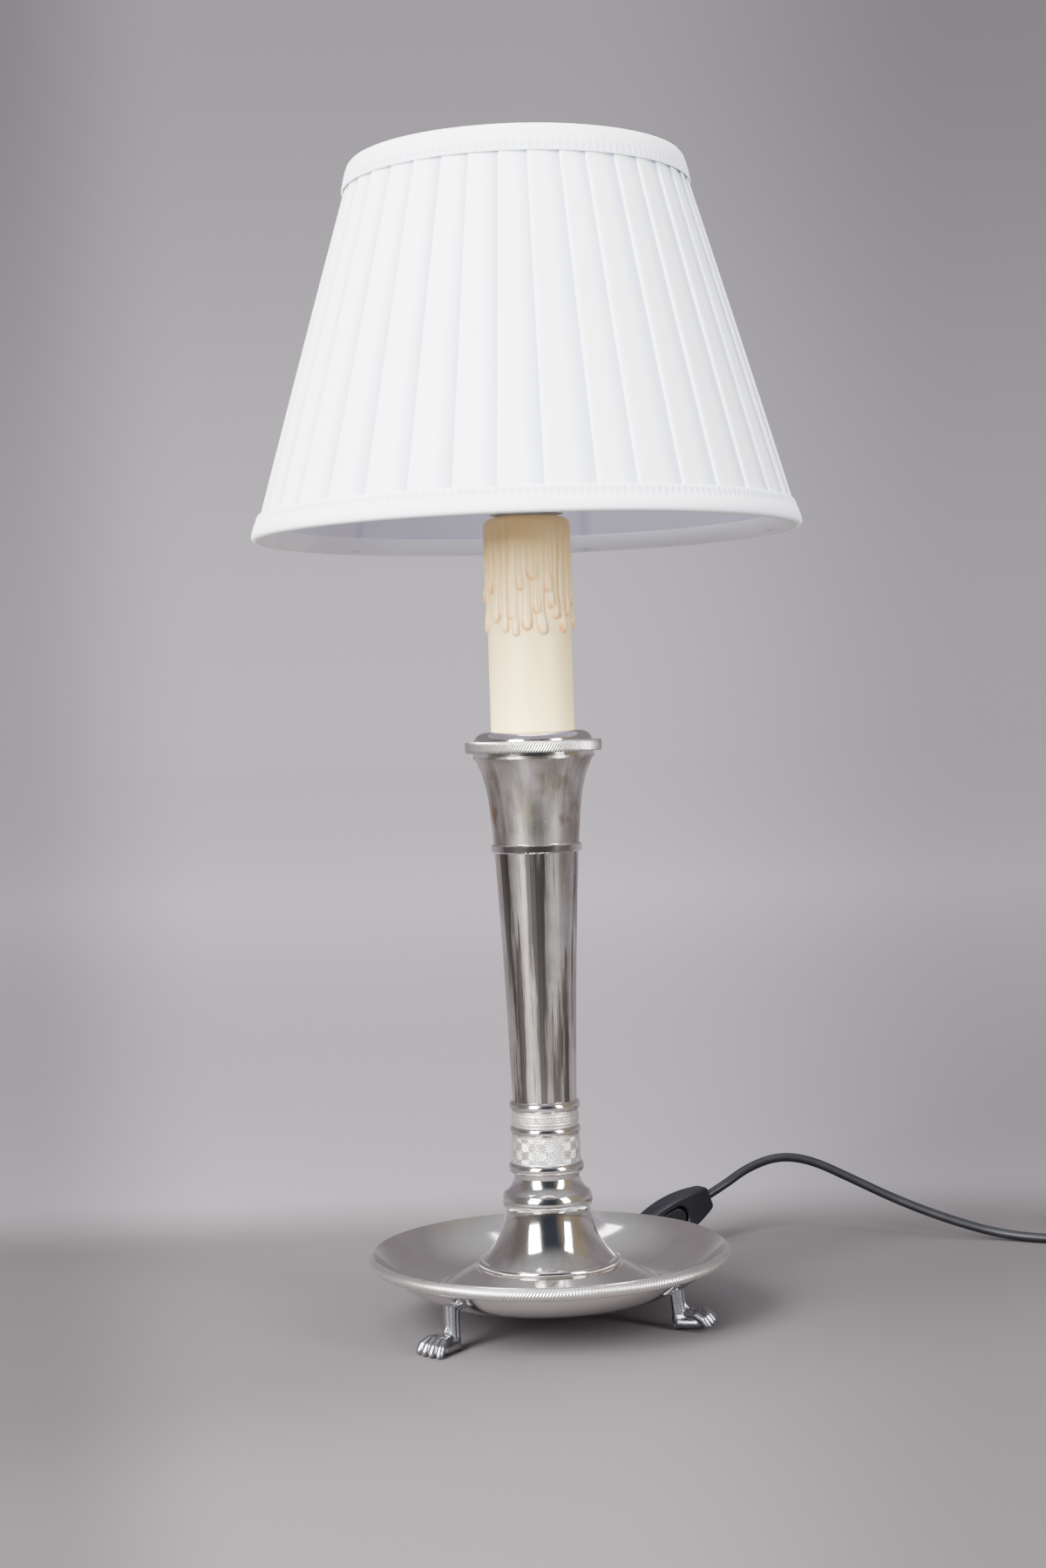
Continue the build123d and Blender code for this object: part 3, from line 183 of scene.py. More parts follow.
class Finish:
    """One material, or the studio's sky, made node by node."""

    def __init__(self, name, sky=None):
        self.material = sky or bpy.data.materials.new(name)
        self.material.use_nodes = True
        self.tree = self.material.node_tree
        self.tree.nodes.clear()

    def node(self, kind, values=None, output=0, **settings):
        """Add a node: its settings first, then the values or links of its sockets."""
        node = self.tree.nodes.new(kind)
        for name, value in settings.items():
            setattr(node, name, value)
        for key, value in (values or {}).items():
            if isinstance(value, Link):
                self.tree.links.new(value.socket, node.inputs[key])
            else:
                node.inputs[key].default_value = value
        return Link(self, node.outputs[output]) if node.outputs else None

    def place(self, scale=(1, 1, 1)):
        """The point on the lamp in metres, stretched by a scale."""
        point = self.node("ShaderNodeTexCoord", output="Object")
        return self.node("ShaderNodeVectorMath", {0: point, 1: scale}, operation="MULTIPLY")

    def parts(self, kind):
        """The three numbers of the point, or of the direction looked in."""
        point = self.node("ShaderNodeTexCoord", output=kind)
        return [self.node("ShaderNodeSeparateXYZ", {0: point}, output=axis) for axis in range(3)]

    def round_place(self, around, along):
        """The point as angle, radius and height, so that a pattern runs round the lamp's axis."""
        x, y, z = self.parts("Object")
        angle = x.maths("ARCTAN2", y, x)
        radius = x.maths("SQRT", x * x + y * y)
        return self.node("ShaderNodeCombineXYZ", {0: angle * around, 1: radius * along, 2: z * along})

    def noise(self, scale, detail=4.0, roughness=0.55, place=None):
        return self.node(
            "ShaderNodeTexNoise",
            {"Vector": place or self.place(), "Scale": scale, "Detail": detail, "Roughness": roughness},
        )

    def cells(self, scale, place=None):
        return self.node("ShaderNodeTexVoronoi", {"Vector": place or self.place(), "Scale": scale})

    def attribute(self, name):
        return self.node("ShaderNodeAttribute", output="Fac", attribute_name=name)

    def mix(self, first, second, share):
        """A colour between two, by a share from 0 to 1."""
        values = {0: share, 6: rgba(first), 7: rgba(second)}
        return self.node("ShaderNodeMix", values, output=2, data_type="RGBA")

    def brighten(self, tone, share):
        """A colour times a number."""
        return self.node("ShaderNodeVectorMath", {0: tone, "Scale": share}, operation="SCALE")

    def bump(self, height, distance, strength=1.0, normal=None):
        values = {"Height": height, "Distance": distance, "Strength": strength}
        if normal:
            values["Normal"] = normal
        return self.node("ShaderNodeBump", values)

    def surface(self, **sockets):
        """End the finish with one shader. Socket names use _ for a space."""
        values = {name.replace("_", " "): value for name, value in sockets.items()}
        shader = self.node("ShaderNodeBsdfPrincipled", values)
        self.node("ShaderNodeOutputMaterial", {"Surface": shader})
        return self.material


def rgba(value):
    """A colour of three numbers gets its fourth. Anything else stays as it is."""
    if isinstance(value, (int, float, Link)):
        return value
    parts = tuple(value)
    return parts + (1.0,) if len(parts) == 3 else parts


def plate_finish(name, colours, polish, film, spots=0.0, drawn=0.0):
    """Silver plate: a warm film in clouds, thin spots, dark streaks up a drawn tube that are painted
    reflection of the dark room and partly tarnish, scratches and pits.
    """
    finish = Finish(name)
    cloud = finish.noise(38.0, 5.0, 0.6)
    smear = finish.noise(90.0, 4.0, 0.6, finish.place((1.0, 1.0, 0.28)))
    scratch = finish.noise(1.0, 3.0, 0.7, finish.round_place(34.0, 2600.0))
    pit = 1.0 - finish.cells(620.0).between(0.05, 0.16)
    pitted = pit * finish.noise(120.0, 2.0).between(0.54, 0.66)
    share = (cloud * 0.55 + smear * 0.45).between(0.40, 0.60)
    base = finish.mix(colours.silver, colours.patina, share * film)
    height = pitted * -1.0 + finish.noise(900.0, 2.0) * 0.12
    normal = finish.bump(scratch, 0.004 * MM, 0.35)
    if drawn:
        # painted dark reflections of the room, with some real tarnish, as streaks up the drawn tube; the
        # flutes below are bumps
        streak = finish.noise(1.0, 5.0, 0.65, finish.round_place(3.4, 9.0))
        flute = finish.noise(1.0, 3.0, 0.6, finish.round_place(9.0, 3.0))
        base = finish.mix(base, colours.film, streak.between(0.46, 0.56) * drawn)
        normal = finish.bump(flute, 0.22 * MM, drawn, normal)
    if spots:
        bloom = finish.noise(70.0, 3.0, 0.5, finish.place((1.0, 1.0, 0.7))).between(0.62, 0.74)
        base = finish.mix(base, colours.spot, bloom * spots)
    base = finish.mix(base, colours.oxide, pitted * 0.7)
    rough = polish + cloud.between(0.4, 0.8) * (0.06 + 0.12 * film) + scratch * 0.03 + pitted * 0.3
    normal = finish.bump(height, 0.03 * MM, 0.5, normal)
    return finish.surface(Base_Color=base, Metallic=1.0, Roughness=rough, Normal=normal)


def relief_finish(name, colours, bright, polish):
    """Cast or cut silver whose hollows have gone dark, by the recess that the mesh carries."""
    finish = Finish(name)
    hollow = finish.attribute("recess").between(0.12, 0.85)
    cloud = finish.noise(160.0, 4.0, 0.6)
    grain = finish.noise(1500.0, 3.0, 0.6)
    film = finish.mix(bright, colours.patina, cloud.between(0.5, 0.75) * 0.35)
    base = finish.mix(film, colours.oxide, hollow * (0.75 + grain * 0.25))
    rough = polish + hollow * 0.28 + grain * 0.12
    normal = finish.bump(grain, 0.05 * MM, 0.35)
    return finish.surface(Base_Color=base, Metallic=1.0, Roughness=rough, Normal=normal)


def wax_finish(colours):
    """Drip-wax plastic: ivory, tan near the top, a brown line round each drip."""
    finish = Finish("ivory_wax")
    cloud = finish.noise(60.0, 4.0, 0.6)
    streak = finish.noise(140.0, 3.0, 0.6, finish.place((1.0, 1.0, 0.15)))
    warm = finish.attribute("warmth") * (0.55 + cloud * 0.9)
    base = finish.mix(colours.ivory, colours.tan, warm * 0.62 + streak.between(0.5, 0.8) * 0.12)
    line = finish.attribute("stain") * (0.35 + finish.noise(420.0, 3.0) * 1.1)
    base = finish.mix(base, colours.stain, line)
    normal = finish.bump(finish.noise(520.0, 4.0, 0.6) + streak * 0.6, 0.10 * MM, 0.5)
    rough = 0.36 + cloud * 0.18
    return finish.surface(
        Base_Color=base, Roughness=rough, Normal=normal,
        Subsurface_Weight=0.12, Subsurface_Radius=(0.002, 0.0016, 0.0010), Subsurface_Scale=1.0,
        Coat_Weight=0.12, Coat_Roughness=0.3,
    )


def cloth_finish(name, tone, shadow, threads, weight=1.0):
    """Plain woven cotton: fine threads both ways, a few slubs, and painted shade in the folds."""
    finish = Finish(name)
    round_it = finish.round_place(1.0, 1.0)
    warp, weft = (
        finish.node(
            "ShaderNodeTexWave",
            {"Vector": round_it, "Scale": scale, "Distortion": 1.2, "Detail": 2.0, "Detail Scale": 3.0},
            output="Fac",
            bands_direction=way,
        )
        for way, scale in (("X", threads * 0.11), ("Z", threads))
    )
    slub = finish.noise(300.0, 4.0, 0.65, finish.place((1.0, 1.0, 0.22)))
    cloud = finish.noise(24.0, 3.0)
    uneven = cloud.between(0.5, 0.8) * 0.10 + slub.between(0.62, 0.8) * 0.10
    # painted shade: the fold share darkens the cloth towards the shadow colour in creases, seams and stitches
    base = finish.mix(tone, shadow, finish.attribute("fold") * 0.85 + uneven)
    normal = finish.bump(warp * 0.5 + weft * 0.5 + slub * 0.6, 0.06 * MM * weight, 0.6)
    return finish.surface(
        Base_Color=base, Roughness=0.86, Normal=normal,
        Sheen_Weight=0.15, Sheen_Roughness=0.5, Specular_IOR_Level=0.25,
    )


def plastic_finish(name, tone, polish, grain, coat=0.0, shine=0.5):
    """Moulded plastic with a fine grain and a little uneven gloss."""
    finish = Finish(name)
    cloud = finish.noise(110.0, 3.0)
    fine = finish.noise(2400.0, 2.0)
    lighter = tuple(min(1.0, part * 1.35 + 0.004) for part in tone)
    base = finish.mix(tone, lighter, cloud.between(0.45, 0.8) * 0.5 + fine * 0.2)
    rough = polish + cloud * 0.10 + fine * 0.04
    normal = finish.bump(fine + cloud * 0.3, grain * MM, 0.5)
    return finish.surface(
        Base_Color=base, Roughness=rough, Normal=normal,
        Specular_IOR_Level=shine, Coat_Weight=coat, Coat_Roughness=0.2,
    )


def plain_metal_finish(name, tone, dull, polish):
    """Turned or pressed metal with fine lines round it and a dull film."""
    finish = Finish(name)
    line = finish.noise(1.0, 3.0, 0.7, finish.round_place(20.0, 1800.0))
    cloud = finish.noise(180.0, 4.0)
    base = finish.mix(tone, dull, cloud.between(0.42, 0.75) * 0.7)
    rough = polish + cloud * 0.18 + line * 0.06
    normal = finish.bump(line, 0.01 * MM, 0.4)
    return finish.surface(Base_Color=base, Metallic=1.0, Roughness=rough, Normal=normal)


def darker(tone, share):
    """A colour with its brightness cut to a share."""
    return tuple(part * share for part in tone)


def make_finishes(colours):
    """Every finish of the lamp by its name. The plates' numbers are roughness, film, spots, drawn streaks."""
    silver = colours.silver
    return {
        "mirror": plate_finish("mirror_plate", colours, 0.05, 0.45),
        "tube": plate_finish("tube_plate", colours, 0.07, 0.55, drawn=0.9),
        "trumpet": plate_finish("trumpet_plate", colours, 0.17, 1.0, 0.75, 0.3),
        "dish": plate_finish("dish_plate", colours, 0.07, 0.12),
        "ring": plate_finish("ring_plate", colours, 0.07, 0.30),
        "rope": relief_finish("rope_plate", colours, darker(silver, 0.92), 0.24),
        "knurl": relief_finish("knurl_plate", colours, darker(silver, 0.82), 0.22),
        "band": relief_finish("band_plate", colours, darker(silver, 0.95), 0.34),
        "foot": relief_finish("foot_pewter", colours, colours.pewter, 0.22),
        "wax": wax_finish(colours),
        "cover": cloth_finish("cover_cotton", colours.cover, colours.fold, 760.0),
        "tape": cloth_finish("tape_cotton", colours.cover, colours.fold, 620.0, 1.4),
        "lining": cloth_finish("lining_cotton", colours.lining, colours.fold, 900.0, 0.7),
        "cord": plastic_finish("cord_black", colours.black, 0.36, 0.02, shine=0.22),
        "switch": plastic_finish("switch_black", colours.black, 0.34, 0.04, shine=0.16),
        "brass": plain_metal_finish("bare_brass", colours.brass, darker(colours.brass, 0.55), 0.25),
        "zinc": plain_metal_finish("zinc_steel", colours.zinc, darker(colours.zinc, 0.6), 0.32),
        "enamel": plastic_finish("white_enamel", colours.enamel, 0.30, 0.03, 0.3),
        "moulding": plastic_finish("holder_moulding", colours.moulding, 0.34, 0.03),
        "opal": plastic_finish("opal_glass", colours.opal, 0.12, 0.002, 0.8),
    }


FINISHES = {}

FINISH_OF_NODE = {
    "mirror": ("bell_foot",),
    "tube": ("stem_tube",),
    "trumpet": ("trumpet",),
    "dish": ("dish",),
    "ring": (
        "stem_band", "foot_bead", "scotia_neck", "lower_collar_ring", "middle_collar_ring",
        "upper_collar_ring", "drip_cap",
    ),
    "zinc": ("rod_washers", "rod_nuts", "switch_screws", "rocker_pin", "outlet_cup", "outlet_cover"),
    "brass": (
        "threaded_rod", "centre_contact", "screw_shell", "bulb_cap", "bulb_contact",
        "switch_contacts", "plug_pins",
    ),
    "moulding": ("holder_base", "holder_skirt", "seat_ring", "shade_ring", "holder_insert"),
    "opal": ("bulb_glass",),
    "enamel": (
        "carrier_base", "carrier_legs", "carrier_ring", "frame_rings", "frame_struts",
        "spider_ring", "spider_arms",
    ),
    "cord": ("inner_lead", "cord_boot"),
    "switch": ("switch_cover", "switch_base", "switch_rocker", "plug_body"),
}

# ---------- mesh helpers


def around(count):
    """Angles of an even round, the first at 0."""
    return np.linspace(0, TURN, count, endpoint=False)


def upwards(count):
    """A column of shares from 0 to 1, one for each row of a grid."""
    return np.linspace(0, 1, count)[:, None]


def ring_grid(radii, heights, angles):
    """Points of a turned grid: rows up the profile, columns round the axis, in millimetres."""
    return np.stack((radii * np.cos(angles), radii * np.sin(angles), heights + 0 * radii), axis=-1)


def grid_faces(rows, columns, closed):
    """Faces of a grid whose columns close on themselves, and its rows too if closed."""
    row = np.arange(rows if closed else rows - 1)[:, None] * columns
    column = np.arange(columns)[None, :]
    ahead = (column + 1) % columns
    above = (row + columns) % (rows * columns)
    return np.stack((row + column, row + ahead, above + ahead, above + column), axis=-1).reshape(-1, 4)


def make_piece(name, points, faces, finish, body, stands_for=(), shares=None, crease=40.0):
    """A finished mesh piece from points in millimetres, riding on a body."""
    mesh = bpy.data.meshes.new(name)
    flat = np.asarray(points, float).reshape(-1, 3) * MM
    mesh.from_pydata(flat.tolist(), [], np.asarray(faces).tolist())
    mesh.validate()
    for key, values in (shares or {}).items():
        layer = mesh.attributes.new(key, "FLOAT", "POINT")
        layer.data.foreach_set("value", np.asarray(values, np.float32).ravel())
    return link_piece(name, mesh, finish, body, stands_for, crease)


def link_piece(name, data, finish, body, stands_for=(), crease=40.0):
    """Put a mesh or curve into the scene as a piece of the lamp."""
    piece = bpy.data.objects.new(name, data)
    bpy.context.scene.collection.objects.link(piece)
    data.materials.append(FINISHES[finish])
    if piece.type == "MESH":
        data.polygons.foreach_set("use_smooth", [True] * len(data.polygons))
        data.set_sharp_from_angle(angle=math.radians(crease))
    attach(piece, body)
    if stands_for:
        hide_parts(*stands_for)
    return piece


def turned_ring(name, radii, heights, angles, bore, recess, finish, node, crease):
    """A silver ring with a shaped outside, closed on a plain bore, that replaces a node."""
    outer = ring_grid(radii, heights, angles)
    inner = ring_grid(np.full((2, len(angles)), bore), heights[[-1, 0]], angles)
    points = np.vstack((outer, inner))
    faces = grid_faces(len(points), len(angles), True)
    shares = {"recess": np.vstack((recess, np.zeros((2, len(angles)))))}
    return make_piece(name, points, faces, finish, "lamp", (node,), shares, crease)


def box_mm(node):
    """A node's box in millimetres: highest radius from the axis, low z, high z."""
    low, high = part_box(node)
    return max(high.x, high.y) / MM, low.z / MM, high.z / MM


def smooth(value, low, high):
    """Smooth step from 0 at low to 1 at high."""
    share = np.clip((value - low) / (high - low), 0, 1)
    return share * share * (3 - 2 * share)


def wobble(angles, waves, seed):
    """A gentle closed curve round the axis, from -1 to 1, the same on every run."""
    rng = np.random.default_rng(seed)
    total = np.zeros_like(angles)
    for wave in range(1, waves + 1):
        total = total + rng.uniform(-1, 1) * np.cos(wave * angles + rng.uniform(0, TURN)) / math.sqrt(wave)
    return total / math.sqrt(waves)


# ---------- stage


POOL_FROM = 1.12  # metres in front of the lamp that the pool of light spreads from
POOL_GAIN = 0.65  # how much lighter the paper is in its middle
POOL_LEFT = (-0.215, -0.13)  # its soft edges, as metres aside for each metre ahead
POOL_RIGHT = (0.01, 0.19)
# metres over which the paper changes: at the foot, behind the lamp, to the wall, and before the lamp
FRONT_EDGE = (0.0, 0.20)
PAPER_EDGE = (0.21, 0.36)
FAR_EDGE = (0.4, 3.2)
DARK_EDGE = (0.45, 0.85)


def light_pool(aside):
    """A soft pool of light on the paper, from 0 to 1, by how far aside a point lies."""
    return aside.between(*POOL_LEFT) * (1.0 - aside.between(*POOL_RIGHT))


def floor_finish(colours):
    """Matt studio paper: painted shade round the foot, lighter behind it, painted shade well before the lamp.
    """
    finish = Finish("studio_paper")
    x, y, _ = finish.parts("Object")
    cloud = finish.noise(3.0, 3.0)
    grain = finish.noise(900.0, 2.0)
    # painted shade: the paper round the foot and behind it is darker
    base = finish.mix(colours.floor_painted_shade, colours.floor, (x * 0.5 - y).between(*FRONT_EDGE))
    base = finish.mix(base, colours.paper, (y + cloud * 0.06).between(*PAPER_EDGE))
    base = finish.mix(base, colours.paper_far, y.between(*FAR_EDGE))
    base = finish.brighten(base, 1.0 + light_pool(x / (y + POOL_FROM)) * POOL_GAIN)
    # painted shade: the paper well before the lamp goes dark
    beyond = 0.0 - y - abs(x) * 0.7
    base = finish.mix(base, colours.front, beyond.between(*DARK_EDGE))
    base = finish.brighten(base, 1.03 - grain * 0.06)
    return finish.surface(Base_Color=base, Roughness=0.85, Normal=finish.bump(grain, 0.05 * MM, 0.3))


class LAMP_OT_stage(bpy.types.Operator):
    """Make the pale floor, the soft lights, the sky and the camera"""

    bl_idname = "lamp.stage"
    bl_label = "Stage"

    camera_place = (-5.324, -1118.53, 280.99)
    camera_pitch = 0.0254
    camera_roll = 0.0315
    camera_lens = 55.296
    floor_side = 30.0
    aim_z = 0.26  # the lights look at the lamp's middle
    lights = (
        # name, place and size in metres, watts, colour
        ("left_window", (-0.98, -1.30, 0.95), (0.75, 1.2), 170.0, (1.0, 0.995, 0.985)),
        ("right_window", (1.15, -0.95, 0.80), (0.45, 1.1), 44.0, (0.97, 0.985, 1.0)),
        ("top_panel", (-0.1, 0.15, 1.8), (1.3, 0.9), 22.0, (1.0, 1.0, 1.0)),
    )
    sun_from = (-0.45, -0.75, 1.25)
    sun_power = 5.0
    sun_spread = 60.0
    # the room, as the plate mirrors it
    horizon = (0.435, 0.402, 0.437)
    backdrop = (0.26, 0.238, 0.26)
    dark_front = (0.050, 0.058, 0.075)
    left_side = (0.20, 0.185, 0.18)
    right_side = (0.33, 0.27, 0.20)
    ceiling = (0.50, 0.50, 0.52)

    def execute(self, context):
        scene = context.scene
        bpy.ops.mesh.primitive_grid_add(x_subdivisions=8, y_subdivisions=8, size=self.floor_side)
        floor = context.object
        floor.name = "floor"
        floor.data.materials.append(floor_finish(scene.lamp_colours))
        for name, place, size, watts, tint in self.lights:
            data = bpy.data.lights.new(name, "AREA")
            data.shape = "RECTANGLE"
            data.size, data.size_y = size
            data.energy = watts
            data.color = tint
            self.aim(scene, name, data, place)
        sun = bpy.data.lights.new("sun", "SUN")
        sun.energy = self.sun_power
        sun.angle = math.radians(self.sun_spread)
        self.aim(scene, "sun", sun, self.sun_from).visible_glossy = False
        self.make_sky(scene)
        self.make_camera(scene)
        return {"FINISHED"}

    def aim(self, scene, name, data, place):
        """Put a light in its place, turned to the lamp's middle."""
        light = bpy.data.objects.new(name, data)
        light.location = place
        ahead = Vector((0, 0, self.aim_z)) - Vector(place)
        light.rotation_euler = ahead.to_track_quat("-Z", "Y").to_euler()
        scene.collection.objects.link(light)
        return light

    def make_sky(self, scene):
        """A room: paper behind, a dark front, warm wood on the right, a soft ceiling."""
        scene.world = bpy.data.worlds.new("studio")
        sky = Finish("studio", scene.world)
        x, y, z = sky.parts("Generated")
        side = sky.mix(self.left_side, self.right_side, x.between(-0.2, 0.6))
        room = sky.mix(self.dark_front, side, abs(x).between(0.25, 0.75))
        paper = sky.mix(self.horizon, self.backdrop, z.between(0.0, 0.30))
        pool = light_pool(x / y) * y.between(0.0, 0.5)
        paper = sky.brighten(paper, 1.0 + pool * POOL_GAIN)
        walls = sky.mix(room, paper, y.between(-0.15, 0.35))
        tone = sky.mix(walls, self.ceiling, z.between(0.60, 0.97))
        light = sky.node("ShaderNodeBackground", {"Color": tone})
        sky.node("ShaderNodeOutputWorld", {"Surface": light})

    def make_camera(self, scene):
        data = bpy.data.cameras.new("camera")
        data.lens = self.camera_lens
        data.clip_start = 0.05
        camera = bpy.data.objects.new("camera", data)
        pitch, roll = self.camera_pitch, self.camera_roll
        forward = Vector((0, math.cos(pitch), -math.sin(pitch)))
        upward = Vector((0, math.sin(pitch), math.cos(pitch)))
        right = Vector((1, 0, 0))
        across = right * math.cos(roll) - upward * math.sin(roll)
        above = right * math.sin(roll) + upward * math.cos(roll)
        turn = Matrix((across, above, -forward)).transposed()
        camera.matrix_world = Matrix.Translation(Vector(self.camera_place) * MM) @ turn.to_4x4()
        scene.collection.objects.link(camera)
        scene.camera = camera


# ---------- cord


class LAMP_OT_cord(bpy.types.Operator):
    """Lay the mains cord: a short stretch to the switch, then an arch, the floor and the coil"""

    bl_idname = "lamp.cord"
    bl_label = "Cord"

    # millimetres; the cord's middle lies this high on the floor
    lying = 2.45
    base_length = 115.7
    main_length = 1553.3
    base_route = (
        (7.467, 42.347, 12.6), (9.551, 54.164, 12.6), (10.2, 78.0, lying),
        (11.6, 110.8, lying), (21.9, 125.6, lying), (34.76, 135.30, 2.46),
        (44.48, 140.91, 6.70),
    )
    main_route = (
        (86.2, 165.0, 24.9), (95.92, 170.61, 29.14), (108.6, 174.6, 37.2),
        (125.5, 175.2, 43.2), (143.0, 173.6, 41.0), (163.8, 169.5, 31.2),
        (188.0, 163.2, 19.6), (213.0, 155.0, 10.4), (238.5, 147.0, 3.4),
        (262.0, 135.0, lying), (284.0, 130.6, lying), (310.0, 130.0, lying),
    )
    coil_entry = (322.0, 130.0)
    coil_inner = 24.0
    coil_pitch = 5.3
    coil_halves = 12
    climbing_half = 5  # the half turn that climbs onto the others
    points_per_half = 8
    exit_radius = 42.55
    tail = ((0.0, 8.667, 0.0), (0.0, 17.333, -0.9), (0.0, 26.0, -0.9))

    def bend(self, start, radius, side, climb, count):
        """Control points of a bend that leaves its start along X and turns to one side."""
        x, y, z = start
        step = math.pi / self.points_per_half
        # a control point lies outside the curve that it guides
        reach = radius / (0.75 + 0.25 * math.cos(step))
        for point in range(count):
            angle = (point + 0.5) * step
            yield (
                x + side * reach * math.sin(angle),
                y + side * (radius - reach * math.cos(angle)),
                z + climb * (point + 0.5) / self.points_per_half,
            )

    def coil(self):
        """Half turns wound inwards on the floor, then out again on top of those."""
        x, y, z = *self.coil_entry, self.lying
        points = []
        for half in range(self.coil_halves):
            radius = self.coil_inner + abs(half - self.climbing_half) * self.coil_pitch / 2
            side = 1 if half % 2 == 0 else -1
            climb = self.coil_pitch if half == self.climbing_half else 0.0
            points.extend(self.bend((x, y, z), radius, side, climb, self.points_per_half))
            y += 2 * radius * side
            z += climb
        out = self.exit_radius
        points.extend(self.bend((x, y, z), out, 1, 0.0, self.points_per_half // 2))
        points.extend((x + out + dx, y + out + dy, z + dz) for dx, dy, dz in self.tail)
        return points

    def lay(self, name, route, diameter, stands_for):
        """A round cord along a smooth spline."""
        curve = bpy.data.curves.new(name, "CURVE")
        curve.dimensions = "3D"
        curve.bevel_depth = diameter / 2
        curve.bevel_resolution = 5
        curve.use_fill_caps = True
        spline = curve.splines.new("NURBS")
        spline.points.add(len(route) - 1)
        for point, place in zip(spline.points, route):
            point.co = (*(Vector(place) * MM), 1.0)
        spline.order_u = 3
        spline.use_endpoint_u = True
        spline.resolution_u = 8
        return link_piece(name, curve, "cord", "lamp", stands_for)

    def execute(self, context):
        diameter = context.scene.lamp_soft.cord
        base = self.lay("cord_to_switch", self.base_route, diameter, ("cord_base_stretch",))
        route = self.main_route + tuple(self.coil())
        main = self.lay("cord_to_plug", route, diameter, ("cord_main_stretch", "cord_coil", "cord_tail"))
        return {"FINISHED"}


# ---------- relief in the silver


class LAMP_OT_rope_border(bpy.types.Operator):
    """Cast the fine rope border round the dish"""

    bl_idname = "lamp.rope_border"
    bl_label = "Rope border"

    samples = 8
    rows = 15
    lean = 2.6  # strands that one strand crosses on its way up
    roundness = 0.7
    strand = 0.55
    seat_in = 0.05  # the border reaches into the dish's edge

    def execute(self, context):
        sizes = context.scene.lamp_relief
        crown_r, low_z, high_z = box_mm("rope_rim")
        edge_r = box_mm("dish")[0]
        angles = around(sizes.rope_lobes * self.samples)
        share = upwards(self.rows)
        bulge = np.sin(share * math.pi) ** self.roundness
        phase = angles * sizes.rope_lobes / TURN - self.lean * share
        hollow = (1 - np.abs(np.sin(phase * math.pi)) ** self.strand) * bulge
        radii = edge_r + (crown_r - edge_r) * bulge - sizes.rope_depth / MM * hollow
        heights = low_z + (high_z - low_z) * share
        bore = edge_r - self.seat_in
        turned_ring("rope_border", radii, heights, angles, bore, hollow, "rope", "rope_rim", 60.0)
        return {"FINISHED"}


class LAMP_OT_knurled_edge(bpy.types.Operator):
    """Cut the slanted knurl of the drip cap's ring"""

    bl_idname = "lamp.knurled_edge"
    bl_label = "Knurled edge"

    samples = 10
    rows = 14
    lean = 2.4  # cuts that one cut crosses on its way up
    ridge = 0.8
    edge = 0.5
    seat = 27.4

    def execute(self, context):
        sizes = context.scene.lamp_relief
        crown_r, low_z, high_z = box_mm("knurled_ring")
        angles = around(sizes.knurl_cuts * self.samples)
        share = upwards(self.rows)
        phase = angles * sizes.knurl_cuts / TURN - self.lean * share
        cut = 1 - np.abs(np.sin(phase * math.pi)) ** self.ridge
        ends = np.abs(share * 2 - 1) ** 6
        radii = crown_r - self.edge * ends - sizes.knurl_depth / MM * cut
        heights = low_z + (high_z - low_z) * share
        turned_ring("knurled_edge", radii, heights, angles, self.seat, cut, "knurl", "knurled_ring", 50.0)
        return {"FINISHED"}


